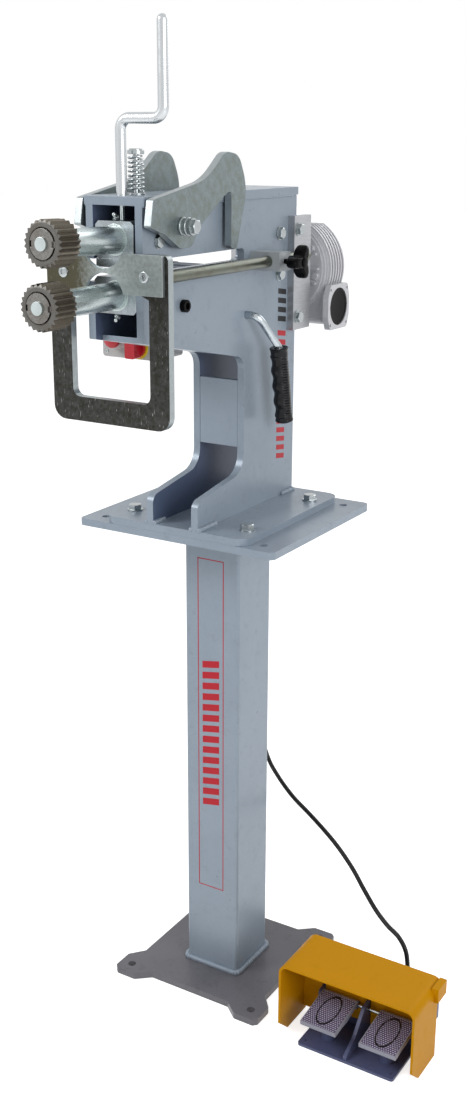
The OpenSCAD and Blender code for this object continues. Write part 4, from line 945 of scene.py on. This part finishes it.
class SWAGER_OT_cable(OperatorBase, bpy.types.Operator):
    """Lays the control cable from the box to the foot switch"""

    bl_idname = "swager.cable"
    bl_label = "Cable"

    def execute(self, context):
        path = [p * MM for p in smooth_path(CABLE_ROUTE, 6)]
        curve = bpy.data.curves.new("control_cable", "CURVE")
        curve.dimensions = "3D"
        spline = curve.splines.new("POLY")
        spline.points.add(len(path) - 1)
        for point, place in zip(spline.points, path):
            point.co = (*place, 1.0)
        curve.bevel_depth = sizes().cable / 2
        curve.bevel_resolution = 4
        curve.use_fill_caps = True
        cable = bpy.data.objects.new("control_cable", curve)
        context.scene.collection.objects.link(cable)
        curve.materials.append(finishes["cable_sheath"])
        attach(cable, "frame", ["cable"])
        self.sleeves()
        return {"FINISHED"}

    def sleeves(self):
        """Tapered strain reliefs at both ends of the cable."""
        reach, wide, narrow = 26.0, 6.6, 4.4
        for name, gland in (("box_sleeve", BOX_GLAND), ("pedal_sleeve", PEDAL_GLAND)):
            work = bmesh.new()
            start = gland + GLAND - Vector((0, 1, 0))
            near = [p for p in smooth_path(CABLE_ROUTE, 12)
                    if (p - gland).length < GLAND.length + reach and p.y > start.y]
            near.sort(key=lambda p: (p - gland).length)
            path = [start, *near]
            grooved = [wide + (narrow - wide) * i / len(near) - 0.5 * (i % 2)
                       for i in range(len(path))]
            tube(work, path, grooved)
            piece(name, work, "black_plastic", "frame")


class SWAGER_OT_frame_plates(OperatorBase, bpy.types.Operator):
    """Rounds the cut edges of the pedestal and the frame and paints them"""

    bl_idname = "swager.frame_plates"
    bl_label = "Pedestal and Frame"

    def execute(self, context):
        for name, slot in SLOT_OF.items():
            if slot == "silver_paint" and name != "weld_beads":
                finish_solid(name, 0.0 if name == "column_tube" else sizes().edge)
        return {"FINISHED"}


FOOT_PLATE_TOP = 12
TOP_PLATE_UNDERSIDE = 842


class SWAGER_OT_welds(OperatorBase, bpy.types.Operator):
    """Lays rippled weld beads where the plates and the column meet"""

    bl_idname = "swager.welds"
    bl_label = "Weld Beads"

    def execute(self, context):
        runs = [(self.square(54.0, FOOT_PLATE_TOP + 2.2), 5.6),
                (self.square(53.4, TOP_PLATE_UNDERSIDE - 1.4), 4.0)]
        foot, top = FRAME_Z / MM + 1.4, SIDE_TOP / MM - 0.8
        for side in (-1, 1):
            runs += [([(side * x, y, z) for y in ends], radius) for x, z, ends, radius in (
                (48.4, foot, (-163, -118), 4.6), (33.8, foot, (-163, -138), 4.2),
                (48.4, foot, (94, 129), 4.6), (48.0, top, (-293, 112), 1.9))]
        work = bmesh.new()
        for seed, run in enumerate(runs):
            bead = self.bead(seed, *run)
            work.from_mesh(bead.data)
            bpy.data.objects.remove(bead)
        attach(new_object("weld_ripples", mesh_of(work, "weld_ripples"), "silver_paint"),
               "frame", ["weld_beads"])
        return {"FINISHED"}

    def square(self, half, z, corner=7.0):
        """A closed square run with rounded corners."""
        inner = half - corner
        return [(cx * inner + corner * math.cos(a), cy * inner + corner * math.sin(a), z)
                for k, (cx, cy) in enumerate(((1, 1), (-1, 1), (-1, -1), (1, -1), (1, 1)))
                for a in (math.radians(90 * k + 18 * i) for i in range(6 if k < 4 else 1))]

    def bead(self, seed, run, radius):
        tree = bpy.data.node_groups.get("weld_bead") or weld_tree()
        obj = point_object("bead", run, [(i, i + 1) for i in range(len(run) - 1)])
        grow(obj, tree, Ripple=sizes().ripple, Radius=radius * MM, Seed=seed,
             Material=finishes["silver_paint"])
        return obj


BOLT_SIZES = {  # width, head height and reach, as the fastener tree takes them
    "base": (6.0, 6.0, 38.0), "nut": (6.0, 6.0, 4.0), "trunnion": (5.0, 5.0, 10.0),
    "bar": (5.0, 5.0, 12.0), "head": (5.0, 3.15, 10.0), "pivot": (5.6, 5.4, 6.0)}
BASE_BOLTS = [(105, y) for y in (-115, 87)]
BAR_OUT = 59
SWING_PIVOT = (80.6, -226, 1323.2)
LIFT_BOLT_Y = -243


class SWAGER_OT_fasteners(OperatorBase, bpy.types.Operator):
    """Sets the hex bolts, nuts and pivot bolts"""

    bl_idname = "swager.fasteners"
    bl_label = "Fasteners"

    def execute(self, context):
        side_x, bearing_y = SIDE_OUT / MM, REAR_BEARING_Y / MM
        rows, pivots = [], []
        for side in (-1, 1):
            outward = (float(side), 0.0, 0.0)
            for x, y in BASE_BOLTS:
                rows += [((x * side, y, FRAME_Z / MM), (0.0, 0.0, 1.0), *BOLT_SIZES["base"]),
                         ((x * side, y, TOP_PLATE_UNDERSIDE), (0.0, 0.0, -1.0),
                          *BOLT_SIZES["nut"])]
            rows += [((x * side, y, z), outward, *BOLT_SIZES[kind]) for kind, x, y, z in (
                ("trunnion", side_x, bearing_y, LOWER_Z / MM),
                ("trunnion", side_x, bearing_y, UPPER_Z / MM),
                ("bar", BAR_OUT, 116, 1299.2), ("bar", BAR_OUT, 116, 1161.2),
                ("head", side_x, -259, 1304.2))]
            x, y, z = SWING_PIVOT
            pivots.append(((x * side, y, z), outward, *BOLT_SIZES["pivot"]))
        self.place_bolts("bolts_and_nuts", rows, ["hex_bolts", "trunnion_bolts"])
        self.place_bolts("pivot_bolts", pivots, ["swing_pivots"])
        turned_piece("pivot_washers", self.washer_stack(),
                     [aimed((0, y, z), (side, 0, 0)) for side in (-1, 1)],
                     "bright_zinc", steps=64)
        turned_piece("spring_washer", [(8, 0), (13.3, 0), (13.3, 2), (12.8, 2.5), (8, 2.5)],
                     [aimed((0, LIFT_BOLT_Y, BRIDGE_TOP / MM), (0, 0, 1))],
                     "bright_zinc", steps=64)
        return {"FINISHED"}

    def washer_stack(self):
        """Half a section of a swing plate's pin with its spacer and four washers."""
        pin = [(0, 35), (6, 35), (6, 47), (11, 47), (11, 52.2), (9.5, 52.2), (9.5, 64.8)]
        washer = [(-0.5, 0.0), (0, 0.5), (0, 2.9), (-0.5, 3.4), (-1.6, 3.4), (-1.6, 4.0)]
        return [*pin, *((radius + step, 64.8 + 4 * i + height)
                        for i, radius in enumerate((12.5, 11, 12.5, 11))
                        for step, height in washer), (0, 80.8)]

    def place_bolts(self, name, rows, nodes):
        tree = bpy.data.node_groups.get("hex_fasteners") or fastener_tree()
        places, aims, size, tall, reach = zip(*rows)
        turns = [0.37 * i for i in range(len(rows))]
        obj = point_object(name, places, aim=aims, turn=turns, size=[v * MM for v in size],
                           tall=[v * MM for v in tall], reach=[v * MM for v in reach])
        grow(obj, tree, Material=finishes["bright_zinc"])
        round_edges(obj, 0.0, 25.0)
        attach(obj, "frame", nodes)


class SWAGER_OT_rolls(OperatorBase, bpy.types.Operator):
    """Cuts the teeth of the two rolls"""

    bl_idname = "swager.rolls"
    bl_label = "Toothed Rolls"

    def execute(self, context):
        tree = tooth_tree()
        core = [(21.6, 0), (26.0, 0), (27.0, 0.8), (27.0, 42.2), (26.0, 43), (13, 43),
                (13, 5), (21, 5), (21, 0.6)]
        for name, front, z, turned in (("lower_roll", -462, LOWER_Z, Matrix.Identity(4)),
                                       ("upper_roll", -450, UPPER_Z, TILTED)):
            work = bmesh.new()
            lathe(work, core, Matrix.Identity(4), 96)
            bmesh.ops.recalc_face_normals(work, faces=work.faces)
            obj = new_object(name + "_toothed", mesh_of(work, name + "_toothed"))
            grow(obj, tree, Teeth=sizes().teeth, Material=finishes["dark_steel"],
                 Face_Material=finishes["face_steel"])
            obj.data.transform(turned @ aimed((0, front, z / MM), (0, 1, 0), 0.13))
            round_edges(obj, 0.0, 25.0)
            attach(obj, BODY_OF[name], [name])
            finish_solid(name + "_nut")
        work = bmesh.new()
        extrude(work, oblong(-31, 1258.4, 31, 1270.6), 232, 297, TILTED @ UPRIGHT)
        piece("block_foot", work, "block_steel", "rocker", width=0.0008)
        return {"FINISHED"}


class SWAGER_OT_grip(OperatorBase, bpy.types.Operator):
    """Moulds the lever's grip, with finger hollows and fine ribs"""

    bl_idname = "swager.grip"
    bl_label = "Lever Grip"

    def execute(self, context):
        neck, end = Vector((80, 20, 1126)), Vector((82, 38, 1006))
        place = aimed(neck, end - neck)
        fingers = place.to_3x3().inverted() @ Vector((-0.62, -0.78, 0.0))
        front = math.atan2(fingers.y, fingers.x)
        long, rows, sides = (end - neck).length + 1.5, 150, 48
        work = bmesh.new()
        loft(work, [ring(place, lambda a: self.radius(i / rows, math.cos(a - front)),
                         i / rows * long, sides) for i in range(rows + 1)])
        piece("moulded_grip", work, "grip_rubber", "hand_lever", nodes=["lever_grip"],
              shade=60.0)
        return {"FINISHED"}

    def radius(self, t, facing):
        """Radius at a share t of the length; facing is 1 on the finger side."""
        collar = 1.9 * math.exp(-(t / 0.035) ** 2) + 1.3 * math.exp(-((1 - t) / 0.05) ** 2)
        ends = 3.0 * math.exp(-(t / 0.006) ** 2) + 4.0 * math.exp(-((1 - t) / 0.01) ** 2)
        r = 13.4 + collar - ends + 0.5 * math.sin(math.pi * t)
        if 0.10 < t < 0.92:
            hollow = math.sin(math.pi * 4 * (t - 0.10) / 0.82) ** 2
            r += max(0.0, facing) * (1.4 - 2.6 * hollow)
        if 0.10 < t < 0.90:
            rib = 0.5 + 0.5 * math.cos(math.tau * 23 * (t - 0.10) / 0.80)
            r -= 1.5 * min(1.0, max(0.0, (0.45 - facing) / 0.35)) * rib ** 2
        return r


class SWAGER_OT_knob(OperatorBase, bpy.types.Operator):
    """Moulds the three-lobed clamp knob"""

    bl_idname = "swager.knob"
    bl_label = "Clamp Knob"

    def execute(self, context):
        place = across((0, 2, 1260))
        work = bmesh.new()
        lathe(work, [(0, 95.9), (4, 95.9), (4, 107), (8.4, 107), (9, 107.6), (9.6, 114),
                     (0, 114)], place)
        lobes = ((113, 0.62), (114, 0.84), (116, 0.96), (119, 1.0), (128, 1.0),
                 (131, 0.95), (132.6, 0.82), (133, 0.62))
        loft(work, [ring(place, lambda a: self.radius(a) * share, x, 96) for x, share in lobes])
        lathe(work, [(0, 132), (7.5, 132), (7.5, 134.2), (6.6, 135), (0, 135)], place, 32)
        piece("lobed_knob", work, "black_plastic", "clamp", nodes=["clamp_knob"], shade=50.0)
        return {"FINISHED"}

    def radius(self, angle):
        """Three lobes round the hub."""
        return 11.0 + 16.7 * (0.5 - 0.5 * math.cos(3 * angle)) ** 1.5


BOX_FRONT = -130


def facing_front(x, z, y=BOX_FRONT):
    """Matrix for a part that looks to the front, by default on the control box."""
    return aimed((x, y, z), (0, -1, 0))


class SWAGER_OT_small_parts(OperatorBase, bpy.types.Operator):
    """Adds screws, caps and rings too small for the main solids"""

    bl_idname = "swager.small_parts"
    bl_label = "Small Parts"

    def execute(self, context):
        turned_piece("worm_cap", [(0, 0.2), (30.5, 0.2), (30.5, 2.4), (29.6, 3.2), (26.6, 3.2),
                                  (25.8, 2.6), (0, 2.6)],
                     [across((80, 215, 1169))], "black_plastic")
        turned_piece("socket_screw", [(0, -4), (4, -4), (4, 0), (9, 0), (9, 7.3), (8.3, 8),
                                      (5, 8), (4.6, 3.6), (0, 3.2)],
                     [across((SIDE_OUT / MM, -200, 1211))], "black_plastic")
        turned_piece("button_ring", [(12.2, 0), (18, 0), (17.6, 1.8), (16.8, 2.4), (12.2, 2.8)],
                     [facing_front(-121, 1144)], "ring_white")
        turned_piece("isolator_ring", [(5.8, 0.2), (18.2, 0.2), (18.2, 1.6), (17.8, 2.12),
                                       (5.8, 2.12)],
                     [facing_front(-82, 1132)], "signal_yellow")
        turned_piece("cap_screws", [(0, -14), (4, -14), (4, 0), (8, 0), (7.6, 1.4), (6.0, 2.5),
                                    (3.6, 2.5), (3.2, 0.9), (0, 0.7)],
                     [facing_front(x, 1263, -324) for x in (-67.5, 67.5)],
                     "bright_zinc", "gauge", nodes=["gauge_screws"], steps=40)
        turned_piece("box_screws", [(0, -3), (3, -3), (3.4, 0.6), (2.8, 1.1), (1.2, 1.1),
                                    (1.0, 0.3), (0, 0.3)],
                     [facing_front(x, z) for x in (-142, -55) for z in (1121, 1182)],
                     "bright_zinc", steps=40)
        low, high = (Vector(corner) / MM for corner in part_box("lift_bolt"))
        head = [(11.2, 7.4), (11.8, 6.8), (11.8, 2.6), (11.2, 2), (9.3, 2), (9.3, 0.7), (8.6, 0),
                (0, 0)]
        turned_piece("lift_bolt_finished", [(0, low.z), (4.1, low.z), (4.1, high.z - 7.4),
                                            *((r, high.z - drop) for r, drop in head)],
                     [moved_by(0, (low.y + high.y) / 2, 0)],
                     "bright_zinc", "rocker", nodes=["lift_bolt"])
        return {"FINISHED"}


TREADLE_PLACE = (321, -69, 54)  # midway between the treadles, at their pin
TREADLE_SPACING = 53.5
TREADLE_SLOPE = math.radians(7.0)


class SWAGER_OT_treadles(OperatorBase, bpy.types.Operator):
    """Dresses the treadles with a studded tread and an oval outline"""

    bl_idname = "swager.treadles"
    bl_label = "Treadles"

    def execute(self, context):
        tree = tread_tree()
        for name, side in (("left_treadle", -1), ("right_treadle", 1)):
            finish_solid(name)
            body = BODY_OF[name]
            place = (moved_by(*TREADLE_PLACE) @ moved_by(TREADLE_SPACING * side, 0, 0)
                     @ Matrix.Rotation(TREADLE_SLOPE, 4, "X"))
            tread = point_object(name + "_tread", [(0, 0, 0)])
            grow(tread, tree, Pitch=sizes().stud, Material=finishes["tread_stud"])
            tread.data.transform(place @ moved_by(0, -42, 8.3))
            attach(tread, body)
            work = bmesh.new()
            extrude(work, oblong(-30.6, -81.5, 30.6, -2.5), 7.6, 8.25, place)
            piece(name + "_mat", work, "tread_mat", body, width=0.0002)
            turned_piece(name + "_oval", [(1.0, 8.0), (1.0, 9.2), (0.9, 9.2), (0.9, 8.0)],
                         [place @ moved_by(0, -41.5, 0) @ Matrix.Diagonal((17, 35, 1, 1))],
                         "black_stripe", body, steps=64)
        return {"FINISHED"}


HOOD_LEFT_CORNER = Vector((205, 0, 124)) * MM  # centre of the left bend
HOOD_BEND = 15.03 * MM
SKIRT_HALVES = ((235, 312.5), (319.5, 407))  # on either side of the base's rib


class SWAGER_OT_hood(OperatorBase, bpy.types.Operator):
    """Trims the foot switch's hood and closes it behind the treadles"""

    bl_idname = "swager.hood"
    bl_label = "Hood"

    def execute(self, context):
        normals = [Vector((-math.cos(a), 0, math.sin(a)))
                   for a in map(math.radians, (0, 22.5, 45, 67.5))]
        finish_solid("pedal_hood", cuts=[(HOOD_LEFT_CORNER + HOOD_BEND * n, n) for n in normals])
        work = bmesh.new()
        for low, high in SKIRT_HALVES:
            extrude(work, oblong(low, 20, high, 66.5), 57.4, 60.8, UPRIGHT)
        piece("hood_skirt", work, "yellow_paint", "frame", width=0.0004)
        return {"FINISHED"}


COLUMN_FRONT = moved_by(0, -52, 0) @ UPRIGHT
FLANK_PITCH = 14.5


class SWAGER_OT_stripes(OperatorBase, bpy.types.Operator):
    """Paints a plain border and plain slanted bars on the column and the side plate"""

    bl_idname = "swager.stripes"
    bl_label = "Painted Stripes"

    def execute(self, context):
        work = bmesh.new()
        self.border(work, 171.6, 782.2, -26.9, 23.7)
        self.bars(work, 14, 332, 608)
        piece("column_stripes", work, "red_stripe", "frame")
        flank = across((SIDE_OUT / MM, 0, 0))
        for name, material, low, count in (("flank_bars", "red_stripe", 932, 15),
                                           ("flank_code", "black_stripe", 1158, 4)):
            work = bmesh.new()
            for z in (low + FLANK_PITCH * i for i in range(count)):
                extrude(work, [(74, z), (100, z - 4), (100, z + 4.5), (74, z + 8.5)], -0.1, 0.14,
                        flank)
            piece(name, work, material, "frame")
        return {"FINISHED"}

    def border(self, work, low, high, left, right):
        w = sizes().stripe / MM
        for side in ((left, low, left + w, high), (right - w, low, right, high),
                     (left, low, right, low + w), (left, high - w, right, high)):
            extrude(work, oblong(*side), -0.1, 0.12, COLUMN_FRONT)

    def bars(self, work, count, low, high):
        """Slanted bars; each fills 0.62 of its pitch."""
        pitch = (high - low) / count
        wide = 0.62 * pitch
        for z in (low + pitch * i for i in range(count)):
            extrude(work, [(-18, z), (15, z + 6), (15, z + 6 + wide), (-18, z + wide)],
                    -0.1, 0.14, COLUMN_FRONT)


class SWAGER_OT_solids(OperatorBase, bpy.types.Operator):
    """Rounds and paints the other solids"""

    bl_idname = "swager.solids"
    bl_label = "Other Solids"

    def execute(self, context):
        stood_for = {n for o in bpy.data.objects for n in o.get("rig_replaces", [])}
        for name in SLOT_OF:
            if name not in stood_for and name != "lift_spring":
                finish_solid(name)
        spring = finish_solid("lift_spring", 0.0, 60.0)
        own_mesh(spring)
        return {"FINISHED"}


CLASSES = (SwagerSizes, SwagerColours, SWAGER_OT_stage, SWAGER_OT_finishes, SWAGER_OT_cable,
           SWAGER_OT_frame_plates, SWAGER_OT_welds, SWAGER_OT_fasteners, SWAGER_OT_rolls,
           SWAGER_OT_grip, SWAGER_OT_knob, SWAGER_OT_small_parts, SWAGER_OT_treadles,
           SWAGER_OT_hood, SWAGER_OT_stripes, SWAGER_OT_solids)
STEPS = [c for c in CLASSES if issubclass(c, bpy.types.Operator)]


class SWAGER_PT_panel(bpy.types.Panel):
    """Lists the steps that build the machine's looks"""

    bl_idname = "SWAGER_PT_panel"
    bl_label = "Swaging Machine"
    bl_space_type = "VIEW_3D"
    bl_region_type = "UI"
    bl_category = "Swager"

    def draw(self, context):
        for step in STEPS:
            self.layout.operator(step.bl_idname)
        for group in (context.scene.swager_sizes, context.scene.swager_colours):
            for key in group.__annotations__:
                self.layout.prop(group, key)


def register():
    for item in (*CLASSES, SWAGER_PT_panel):
        bpy.utils.register_class(item)
    bpy.types.Scene.swager_sizes = bpy.props.PointerProperty(type=SwagerSizes)
    bpy.types.Scene.swager_colours = bpy.props.PointerProperty(type=SwagerColours)


def unregister():
    del bpy.types.Scene.swager_colours
    del bpy.types.Scene.swager_sizes
    for item in reversed((*CLASSES, SWAGER_PT_panel)):
        bpy.utils.unregister_class(item)


def main():
    register()
    for step in STEPS:
        area, name = step.bl_idname.split(".")
        getattr(getattr(bpy.ops, area), name)()


if __name__ == "__main__":
    main()
